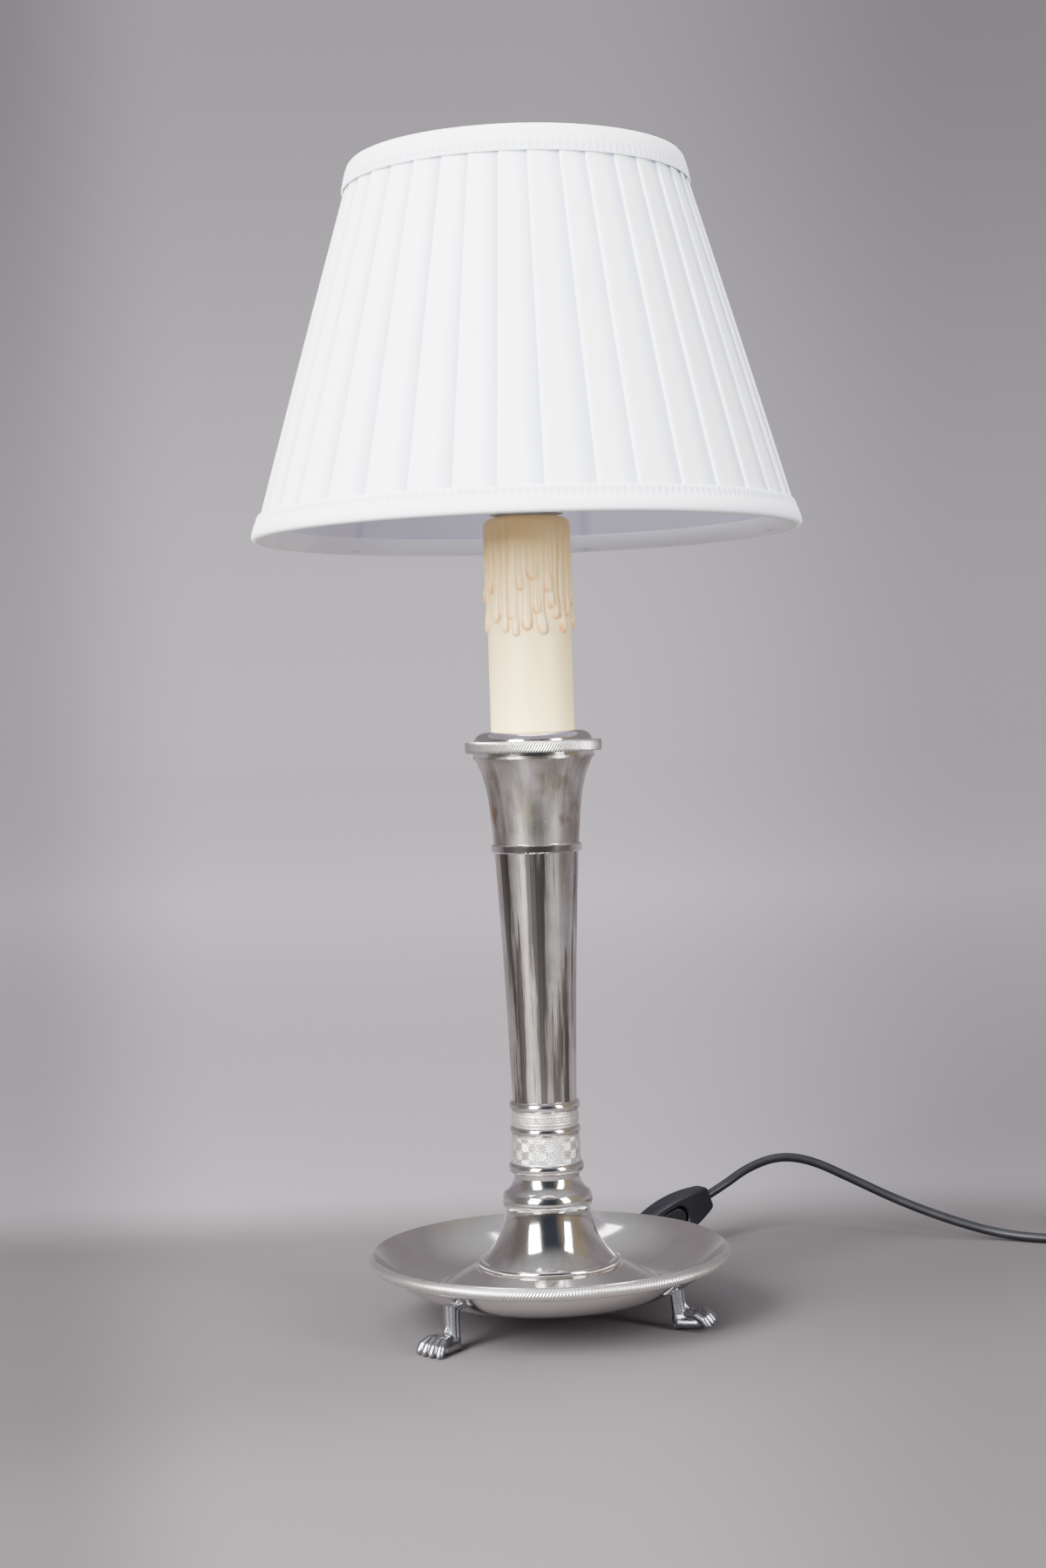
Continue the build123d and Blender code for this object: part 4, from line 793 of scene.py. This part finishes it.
class LAMP_OT_bands(bpy.types.Operator):
    """Cast the band of lozenges and the band of key pattern"""

    bl_idname = "lamp.bands"
    bl_label = "Ornament bands"

    bore = 13.2
    lattice_grid = (56, 86)  # columns for each lozenge, and rows
    lattice_tall = 7.7  # height of one lozenge in millimetres
    lattice_taper = 0.3
    lattice_edge = (0.55, 0.16)  # the line along an edge: how far in, and its width
    key_grid = (32, 56)  # columns for each unit, and rows
    key_share = 0.5  # depth of the key pattern's lines, as a share of the lattice's
    key_margin = 1.3
    key_edge = (1.2, 0.25)
    key_lip = 0.5
    key_rows = ("#######.", "#.....#.", "#.###.#.", "#.#...#.", "#.#####.", "#.......", "########")

    def bell(self, gap, width):
        """1 on a line, falling to 0 beside it."""
        return np.exp(-((gap / width) ** 2))

    def lozenges(self, u, v):
        """Depth, from 0 to 1, of the lattice: double lines, an inner lozenge and a small flower."""
        p, q = u + v, u - v
        dp, dq = np.abs(p - np.round(p)), np.abs(q - np.round(q))
        line = np.minimum(dp, dq)
        double = self.bell(line - 0.085, 0.030)
        inner = self.bell(line - 0.235, 0.026) * 0.9
        a, b = 0.5 - dp, 0.5 - dq
        petal = self.bell(np.hypot(a - 0.095, b), 0.045) + self.bell(np.hypot(a, b - 0.095), 0.045)
        return np.clip(double + inner + petal, 0, 1)

    def keys(self, across, up):
        """The key pattern as 1 where it stands up, softened, and whether a point lies in it."""
        pattern = np.array([[cell == "#" for cell in row] for row in self.key_rows], float)[::-1]
        tall, wide = pattern.shape
        up = up * tall
        inside = (up >= 0) & (up < tall)
        row, column = np.clip(up.astype(int), 0, tall - 1), (across % 1 * wide).astype(int)
        raised = pattern[row, column] * inside
        for _ in range(2):
            raised = (raised + np.roll(raised, 1, 1) + np.roll(raised, -1, 1)) / 3
            raised[1:-1] = (raised[:-2] + raised[1:-1] + raised[2:]) / 3
        return raised, inside

    def lattice_relief(self, sizes):
        radius, low_z, high_z = box_mm("lattice_band")
        columns, rows = self.lattice_grid
        angles, share = around(sizes.lozenges * columns), upwards(rows)
        tall = high_z - low_z
        lines = self.lozenges(angles * sizes.lozenges / TURN, (share - 0.5) * tall / self.lattice_tall)
        border = np.minimum(share, 1 - share) * tall
        edge, width = self.lattice_edge
        lines = np.where(border < edge, self.bell(border - edge, width), lines)
        radii = radius - self.lattice_taper * share - sizes.line_depth / MM * lines
        self.band("lattice_relief", radii, low_z + tall * share, angles, lines, "lattice_band")

    def key_relief(self, sizes):
        radius, low_z, high_z = box_mm("key_band")
        columns, rows = self.key_grid
        angles, share = around(sizes.key_units * columns), upwards(rows)
        tall = high_z - low_z
        up = (share * tall - self.key_margin) / (tall - 2 * self.key_margin)
        raised, inside = self.keys(angles * sizes.key_units / TURN, up)
        border = np.minimum(share, 1 - share) * tall
        edge, width = self.key_edge
        lines = np.where(inside, 1 - raised, self.bell(border - edge, width)) * self.key_share
        lip = self.key_lip * (1 - smooth(border, 0.9, edge))
        radii = radius - lip - sizes.line_depth / MM * lines
        self.band("key_relief", radii, low_z + tall * share, angles, lines, "key_band")

    def band(self, name, radii, heights, angles, lines, node):
        turned_ring(name, radii, heights, angles, self.bore, lines, "band", node, 75.0)

    def execute(self, context):
        self.lattice_relief(context.scene.lamp_relief)
        self.key_relief(context.scene.lamp_relief)
        return {"FINISHED"}


# ---------- feet


class LAMP_OT_paw_feet(bpy.types.Operator):
    """Model the three cast paw feet"""

    bl_idname = "lamp.paw_feet"
    bl_label = "Paw feet"

    axis_r = 62.5
    first_angle = 104.0
    voxel = 0.32
    leans = (("back", 0.0), ("left", 0.0), ("right", 7.0))  # the right foot is bent, toes up
    heel_in = 3.0  # the bent foot turns about its heel, this far inside its axis
    # dish underside as (radius, height), which trims the legs, and how far they reach into it
    under = ((34.4, 27.0), (55.5, 16.5), (62.0, 18.6), (70.0, 23.6), (76.0, 28.8), (82.0, 35.0))
    reach_in = 0.3
    # bars of a paw as (x, y, z, radius) from the leg's axis, toes towards X
    ribs = ((3.0, 2.3), (12.0, 1.95), (24.0, 2.2))  # height and radius only
    spur = ((4.6, 0.0, 7.2, 1.5), (2.7, 0.0, 11.0, 0.9), (2.6, 0.0, 24.0, 1.0))
    heel = ((-2.0, -1.6, 1.9, 2.1), (-2.0, 1.6, 1.9, 2.1))
    instep = ((0.0, 0.0, 4.8, 4.2), (5.0, 0.0, 5.2, 4.0), (9.0, 0.0, 4.2, 3.4))
    pad = ((0.0, 1.8, 3.2, 3.0), (8.5, 3.8, 2.8, 2.6))
    toes = 4
    toe_spread = 14.0  # degrees

    def chain(self, bm, points):
        """A rounded bar through points given as (x, y, z, radius), from the leg's axis."""
        for (x0, y0, z0, r0), (x1, y1, z1, r1) in zip(points, points[1:]):
            gap = math.dist((x0, y0, z0), (x1, y1, z1))
            steps = max(2, int(gap / 0.5))
            for step in range(steps + 1):
                share = step / steps
                centre = Vector((x0, y0, z0)).lerp(Vector((x1, y1, z1)), share)
                radius = r0 + (r1 - r0) * share
                place = Matrix.Translation(centre + Vector((self.axis_r, 0, 0)))
                bmesh.ops.create_icosphere(bm, subdivisions=2, radius=radius, matrix=place)

    def sculpt(self):
        """One paw on the X axis, toes outwards, in millimetres."""
        bm = bmesh.new()
        for depth in (-1.0, 1.0):
            for side in (-1.5, 1.5):
                self.chain(bm, [(depth, side, z, radius) for z, radius in self.ribs])
        for bar in (self.spur, self.heel, self.instep):
            self.chain(bm, bar)
        for side in (-1, 1):
            self.chain(bm, [(x, side * y, z, radius) for x, y, z, radius in self.pad])
        for toe in range(self.toes):
            place = toe - (self.toes - 1) / 2
            turn = math.radians(place * self.toe_spread)
            start = Vector((2.6, place * 1.5, 7.0))
            ahead = Vector((math.cos(turn), math.sin(turn), 0))
            knuckle = start + ahead * 7.0 + Vector((0, 0, -0.7))
            joint = start + ahead * 10.2 + Vector((0, 0, -2.6))
            tip = start + ahead * 11.8 + Vector((0, 0, -4.9))
            self.chain(bm, ((*start, 1.3), (*knuckle, 2.15), (*joint, 2.25), (*tip, 1.95)))
            claw = tip + ahead * 1.6 + Vector((0, 0, -0.7))
            self.chain(bm, ((*tip, 1.2), (*claw, 0.6)))
        mesh = bpy.data.meshes.new("paw_source")
        bm.to_mesh(mesh)
        bm.free()
        source = bpy.data.objects.new("paw_source", mesh)
        bpy.context.scene.collection.objects.link(source)
        remesh = source.modifiers.new("skin", "REMESH")
        remesh.mode = "VOXEL"
        remesh.voxel_size = self.voxel
        soften = source.modifiers.new("soften", "SMOOTH")
        soften.iterations = 3
        graph = bpy.context.evaluated_depsgraph_get()
        paw = bpy.data.meshes.new_from_object(source.evaluated_get(graph))
        bpy.data.objects.remove(source)
        return paw

    def hollows(self, mesh, points):
        """How far each point lies in a hollow, from 0 to 1, by its neighbours."""
        edges = np.empty(len(mesh.edges) * 2, int)
        mesh.edges.foreach_get("vertices", edges)
        edges = edges.reshape(-1, 2)
        normals = np.empty(len(mesh.vertices) * 3)
        mesh.vertices.foreach_get("normal", normals)
        middle, count = points.copy(), np.ones(len(points))
        np.add.at(count, edges.ravel(), 1)
        for _ in range(8):
            total = middle.copy()
            np.add.at(total, edges[:, 0], middle[edges[:, 1]])
            np.add.at(total, edges[:, 1], middle[edges[:, 0]])
            middle = total / count[:, None]
        inwards = ((middle - points) * normals.reshape(-1, 3)).sum(1)
        return smooth(inwards, -0.05, 0.22)

    def execute(self, context):
        paw = self.sculpt()
        points = np.empty(len(paw.vertices) * 3)
        paw.vertices.foreach_get("co", points)
        points = points.reshape(-1, 3)
        recess = self.hollows(paw, points)
        points[:, 2] = np.maximum(points[:, 2], 0.0)
        radius = np.hypot(points[:, 0], points[:, 1])
        under_r, under_z = zip(*self.under)
        points[:, 2] = np.minimum(points[:, 2], np.interp(radius, under_r, under_z) + self.reach_in)
        faces = [tuple(face.vertices) for face in paw.polygons]
        bpy.data.meshes.remove(paw)
        heel = np.array((self.axis_r - self.heel_in, 0.0, 0.0))
        for turn, (place, lean) in enumerate(self.leans):
            angle, tilt = math.radians(self.first_angle + turn * 120.0), math.radians(lean)
            c, s = math.cos(tilt), math.sin(tilt)
            raised = (points - heel) @ np.array(((c, 0, s), (0, 1, 0), (-s, 0, c))) + heel
            c, s = math.cos(angle), math.sin(angle)
            spun = raised @ np.array(((c, s, 0), (-s, c, 0), (0, 0, 1)))
            node = f"paw_foot_{place}"
            shares = {"recess": recess}
            make_piece(f"paw_{place}", spun, faces, "foot", "lamp", (node,), shares, 75.0)
        return {"FINISHED"}


# ---------- wax sleeve


class LAMP_OT_wax_sleeve(bpy.types.Operator):
    """Mould the candle sleeve with its wax drips"""

    bl_idname = "lamp.wax_sleeve"
    bl_label = "Wax sleeve"

    radius = 19.4
    wall = 1.6
    shoulder = 3.4
    mouth = 15.0
    columns = 400
    row_step = 0.5
    sway_waves = (17.0, 9.0, 5.0)  # a drip runs down in these waves
    sway_share = 0.45
    skirt_proud = 0.45  # the wax over the shoulder, between the drips
    warm_from = (62, 8)  # below the top, where the tan starts and where it is full
    # angle, half width and length of each drip below the shoulder
    drips = (
        (247.0, 2.3, 42.0), (252.0, 1.7, 50.0), (259.0, 1.8, 29.0), (266.0, 2.2, 47.0), (276.0, 2.6, 24.0),
        (281.0, 1.9, 40.0), (287.0, 2.3, 49.0), (297.0, 2.2, 30.0), (303.0, 1.8, 38.0), (309.0, 2.1, 42.0),
        (321.0, 2.4, 48.0), (334.0, 1.8, 41.0), (349.0, 2.2, 36.0), (3.0, 1.7, 47.0), (17.0, 2.3, 33.0),
        (31.0, 1.9, 45.0), (46.0, 2.4, 29.0), (60.0, 1.8, 44.0), (74.0, 2.2, 37.0), (90.0, 1.9, 48.0),
        (104.0, 2.4, 31.0), (121.0, 1.7, 46.0), (135.0, 2.3, 38.0), (150.0, 1.8, 28.0), (165.0, 2.2, 45.0),
        (181.0, 1.9, 34.0), (194.0, 2.4, 47.0), (208.0, 1.7, 30.0), (221.0, 2.2, 43.0), (235.0, 1.9, 48.0),
    )

    def wax(self, angles, heights, top, proud):
        """How far the wax stands out, and where its brown lines run."""
        rng = np.random.default_rng(7)
        out = np.zeros((len(heights), len(angles)))
        stain = np.zeros_like(out)
        for angle, size, length in self.drips:
            sway = rng.uniform(0.3, 0.9, 3)
            start = rng.uniform(0, TURN, 3)
            down = top - heights
            waves = zip(sway, self.sway_waves, start)
            drift = sum(s * np.sin(down / wave + t) for s, wave, t in waves) * self.sway_share
            gap = (angles - math.radians(angle) + math.pi) % TURN - math.pi
            across = gap[None, :] * self.radius - drift[:, None] * smooth(down, 3, 16)[:, None]
            near_tip = smooth(down, length - 9, length - 2)
            width = size * (0.80 + 0.26 * near_tip + 0.40 * (1 - smooth(down, 2, 13)))
            past = np.maximum(down - length, 0)
            reach = np.hypot(across, past[:, None]) / width[:, None]
            height = proud * (0.85 + 0.75 * near_tip)[:, None]
            out = np.maximum(out, height * np.sqrt(np.clip(1 - reach**2, 0, 1)))
            low = smooth(down, 9, length)[:, None]
            ring = np.exp(-(((reach - 0.96) / 0.15) ** 2)) * (0.10 + 0.55 * low)
            drop = np.exp(-(((down - length) / 2.4) ** 2))[:, None] * smooth(reach, 0.25, 0.8) * (reach < 1.1)
            covered = reach < 0.9
            stain = np.where(covered, stain * 0.35, stain)
            stain = np.maximum(stain, np.maximum(ring, drop * rng.uniform(0.5, 1.0)))
        edge = 6.5 + 1.8 * np.sin(angles * 7 + 1.0) + 1.3 * np.sin(angles * 12 + 2.4)
        fall = smooth((top - heights)[:, None], edge[None, :] - 1.0, edge[None, :] + 1.0)
        skirt = self.skirt_proud * (1 - fall)
        return np.maximum(out, skirt), np.clip(stain, 0, 1)

    def execute(self, context):
        proud = context.scene.lamp_soft.drip_proud / MM
        _, low_z, top_z = box_mm("candle_sleeve")
        drip_top = top_z - self.shoulder
        angles = around(self.columns)
        heights = np.arange(low_z, drip_top, self.row_step)
        out, stain = self.wax(angles, heights, drip_top, proud)
        outer = ring_grid(self.radius + out, heights[:, None], angles)
        bend = np.linspace(0, math.pi / 2, 9)[:, None]
        top_out = out[-1][None, :] * np.cos(bend)
        shoulder = ring_grid(
            self.radius - self.shoulder + (self.shoulder + top_out) * np.cos(bend),
            drip_top + self.shoulder * np.sin(bend),
            angles,
        )
        bore = self.radius - self.wall
        inside = ((self.mouth, top_z), (self.mouth, drip_top), (bore, drip_top), (bore, low_z))
        inner = np.stack([ring_grid(np.full(len(angles), r), z, angles) for r, z in inside])
        points = np.vstack((outer, shoulder, inner))
        warm_low, warm_high = (top_z - down for down in self.warm_from)
        warm_rows = np.concatenate((heights, np.full(len(bend), top_z)))
        warm_rows = smooth(warm_rows, warm_low, warm_high)
        warm_rows = np.concatenate((warm_rows, np.full(len(inside), 0.5)))
        warmth = np.tile(warm_rows[:, None], (1, len(angles)))
        plain = np.zeros((len(inside), len(angles)))
        stain = np.vstack((stain, np.tile(stain[-1], (len(bend), 1)), plain))
        faces = grid_faces(len(points), len(angles), True)
        shares = {"stain": stain, "warmth": warmth}
        body = "candle_sleeve"
        make_piece("wax_sleeve", points, faces, "wax", body, (body,), shares, 60.0)
        return {"FINISHED"}


# ---------- shade


class LAMP_OT_shade(bpy.types.Operator):
    """Sew the shade: pleated cover, lining, and the tapes over its edges"""

    bl_idname = "lamp.shade"
    bl_label = "Shade"

    low_z = 368.5
    high_z = 538.0
    low_r = 125.0
    high_r = 75.4
    rows = 60
    cloth_in = 0.25
    lining_in = 5.0
    lining_cloth = 0.3
    stitch_samples = 8
    # one knife pleat from its fold: share of the pleat round the shade, share of its depth
    fold = (
        (-0.070, 0.10), (-0.085, 0.30), (-0.080, 0.62), (-0.050, 0.90), (0.000, 1.00), (0.060, 0.97),
        (0.160, 0.86), (0.320, 0.66), (0.500, 0.44), (0.680, 0.25), (0.820, 0.10), (0.900, 0.03),
    )

    def wall(self, heights):
        """Radius of the cover between its pleats at a height."""
        return self.low_r + (heights - self.low_z) / (self.high_z - self.low_z) * (self.high_r - self.low_r)

    def cover(self, sizes):
        """The pleated cloth, each fold a little different."""
        rng = np.random.default_rng(21)
        shift = rng.uniform(-0.07, 0.07, sizes.pleats)
        deep = rng.uniform(0.8, 1.15, sizes.pleats)
        lean = rng.uniform(-0.05, 0.05, sizes.pleats)
        share = upwards(self.rows)
        heights = self.low_z + (self.high_z - self.low_z) * share
        angles, out, fold = [], [], []
        for pleat in range(sizes.pleats):
            width = 1 + shift[(pleat + 1) % sizes.pleats] - shift[pleat]
            for along, depth in self.fold:
                angles.append(pleat + shift[pleat] + along * width + lean[pleat] * (share - 0.5))
                out.append(depth * deep[pleat] * (0.80 + 0.2 * np.sin(share * math.pi)) - 0.1)
                # painted shade at the foot of each pleat, where it runs under the next fold
                fold.append(share * 0 + max(0.0, 1 - depth * 2.4) * (along > 0.6 or along < -0.06))
        angles = np.hstack(angles) / sizes.pleats * TURN
        out = np.hstack(out) * sizes.pleat_depth / MM
        radii = self.wall(heights) - self.cloth_in + out
        points = ring_grid(radii, heights, angles)
        faces = grid_faces(self.rows, points.shape[1], False)
        shares = {"fold": np.hstack(fold)}
        node = "pleated_cover"
        piece = make_piece(
            "shade_cover", points, faces, "cover", "shade", (node,), shares, 50.0
        )
        self.thicken(piece, sizes.cloth)
        return piece

    def thicken(self, piece, thickness):
        """Give a sheet of cloth its thickness, inwards."""
        solid = piece.modifiers.new("cloth", "SOLIDIFY")
        solid.thickness = thickness
        solid.offset = -1.0

    def lining(self):
        """Smooth cloth on the inside of the wires, seamed at each strut."""
        angles = around(360)
        share = upwards(40)
        heights = self.low_z + (self.high_z - self.low_z) * share
        seam = np.abs(((np.degrees(angles) - 15.0) / 60.0 + 0.5) % 1 - 0.5) * 60.0
        tuck = np.exp(-((seam / 1.2) ** 2))
        sag = 0.5 * np.sin(share * math.pi) * (1 - tuck)
        radii = self.wall(heights) - self.lining_in - 0.35 * tuck - sag
        points = ring_grid(radii, heights, angles)
        faces = grid_faces(len(share), len(angles), False)
        # painted shade along the tucked seams
        shares = {"fold": 0 * share + 0.5 * tuck}
        node = "lining"
        piece = make_piece(
            "shade_lining", points, faces, node, "shade", (node,), shares, 60.0
        )
        self.thicken(piece, self.lining_cloth * MM)
        return piece

    def tape(self, name, edge_z, side, tall, node, sizes):
        """Tape folded over an edge, with a rounded roll and a line of stitches."""
        stitches = int(round(TURN * self.wall(edge_z) * MM / sizes.stitch))
        angles = around(stitches * self.stitch_samples)
        # distance outwards from the cover's wall, and height from the edge into the shade
        outside = ((1.55, tall), (1.95, tall - 0.5), (2.15, tall - 2.0), (2.05, tall - 2.8))
        outside += ((2.35, tall * 0.55),)
        rolled = ((2.45, tall * 0.3), (2.25, 0.7), (1.4, -0.6), (-0.6, -1.0), (-3.2, -0.9), (-5.2, -0.2))
        inside = ((-6.0, 1.2), (-6.15, 3.5), (-6.1, 6.2), (-5.8, 7.0))
        under = ((-5.4, 6.9), (-5.4, 1.0), (-4.6, 0.35), (1.0, 0.35), (1.35, 1.2), (1.2, tall - 0.2))
        profile = outside + rolled + inside + under
        stitch = np.exp(-((((angles / TURN * stitches % 1) - 0.5) / 0.17) ** 2))
        ripple = 0.16 * wobble(angles, 24, 5 + side)
        rows, fold = [], []
        for number, (out, into) in enumerate(profile):
            sewn = 1.0 if number in (2, 3) else 0.0
            height = edge_z - side * into
            pulled = sewn * (1 - stitch)
            wall = self.wall(np.clip(height, self.low_z, self.high_z))
            radius = wall + out + ripple * (number < 9) - 0.35 * pulled
            rows.append(ring_grid(radius, np.full(len(angles), height), angles))
            # a faint even share of the shadow colour over the whole tape, and painted shade in the stitch
            # dimples
            fold.append(np.full(len(angles), 0.10) + 0.45 * pulled)
        # the rows of the lower tape run the other way up, so they are turned over
        order = slice(None, None, side)
        shares = {"fold": np.stack(fold)[order]}
        faces = grid_faces(len(profile), len(angles), True)
        points = np.stack(rows)[order]
        return make_piece(name, points, faces, "tape", "shade", (node,), shares, 60.0)

    def execute(self, context):
        sizes = context.scene.lamp_soft
        cover = self.cover(sizes)
        lining = self.lining()
        top = self.tape("top_binding", self.high_z, 1, 11.6, "top_tape", sizes)
        bottom = self.tape("bottom_binding", self.low_z, -1, 10.6, "bottom_tape", sizes)
        return {"FINISHED"}


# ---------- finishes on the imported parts


class LAMP_OT_finishes(bpy.types.Operator):
    """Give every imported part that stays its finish"""

    bl_idname = "lamp.finishes"
    bl_label = "Finishes"

    def execute(self, context):
        for finish, names in FINISH_OF_NODE.items():
            for name in names:
                data = NODES[name].data
                data.materials.clear()
                data.materials.append(FINISHES[finish])
        return {"FINISHED"}


class LAMP_PT_lamp(bpy.types.Panel):
    """The lamp's tools in the sidebar"""

    bl_label = "Candlestick Lamp"
    bl_idname = "LAMP_PT_lamp"
    bl_space_type = "VIEW_3D"
    bl_region_type = "UI"
    bl_category = "Lamp"

    def draw(self, context):
        for group in (context.scene.lamp_relief, context.scene.lamp_soft, context.scene.lamp_colours):
            column = self.layout.column(align=True)
            for name in group.__annotations__:
                column.prop(group, name)
        for operator in OPERATORS:
            self.layout.operator(operator.bl_idname)


OPERATORS = (
    LAMP_OT_stage,
    LAMP_OT_cord,
    LAMP_OT_rope_border,
    LAMP_OT_knurled_edge,
    LAMP_OT_bands,
    LAMP_OT_paw_feet,
    LAMP_OT_wax_sleeve,
    LAMP_OT_shade,
    LAMP_OT_finishes,
)
CLASSES = (LampReliefSizes, LampSoftSizes, LampColours) + OPERATORS + (LAMP_PT_lamp,)


def register():
    for kind in CLASSES:
        bpy.utils.register_class(kind)
    bpy.types.Scene.lamp_relief = PointerProperty(type=LampReliefSizes)
    bpy.types.Scene.lamp_soft = PointerProperty(type=LampSoftSizes)
    bpy.types.Scene.lamp_colours = PointerProperty(type=LampColours)


def unregister():
    del bpy.types.Scene.lamp_colours
    del bpy.types.Scene.lamp_soft
    del bpy.types.Scene.lamp_relief
    for kind in reversed(CLASSES):
        bpy.utils.unregister_class(kind)


def main():
    register()
    FINISHES.update(make_finishes(bpy.context.scene.lamp_colours))
    bpy.ops.lamp.stage()
    bpy.ops.lamp.cord()
    bpy.ops.lamp.rope_border()
    bpy.ops.lamp.knurled_edge()
    bpy.ops.lamp.bands()
    bpy.ops.lamp.paw_feet()
    bpy.ops.lamp.wax_sleeve()
    bpy.ops.lamp.shade()
    bpy.ops.lamp.finishes()
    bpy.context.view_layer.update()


if __name__ == "__main__":
    main()
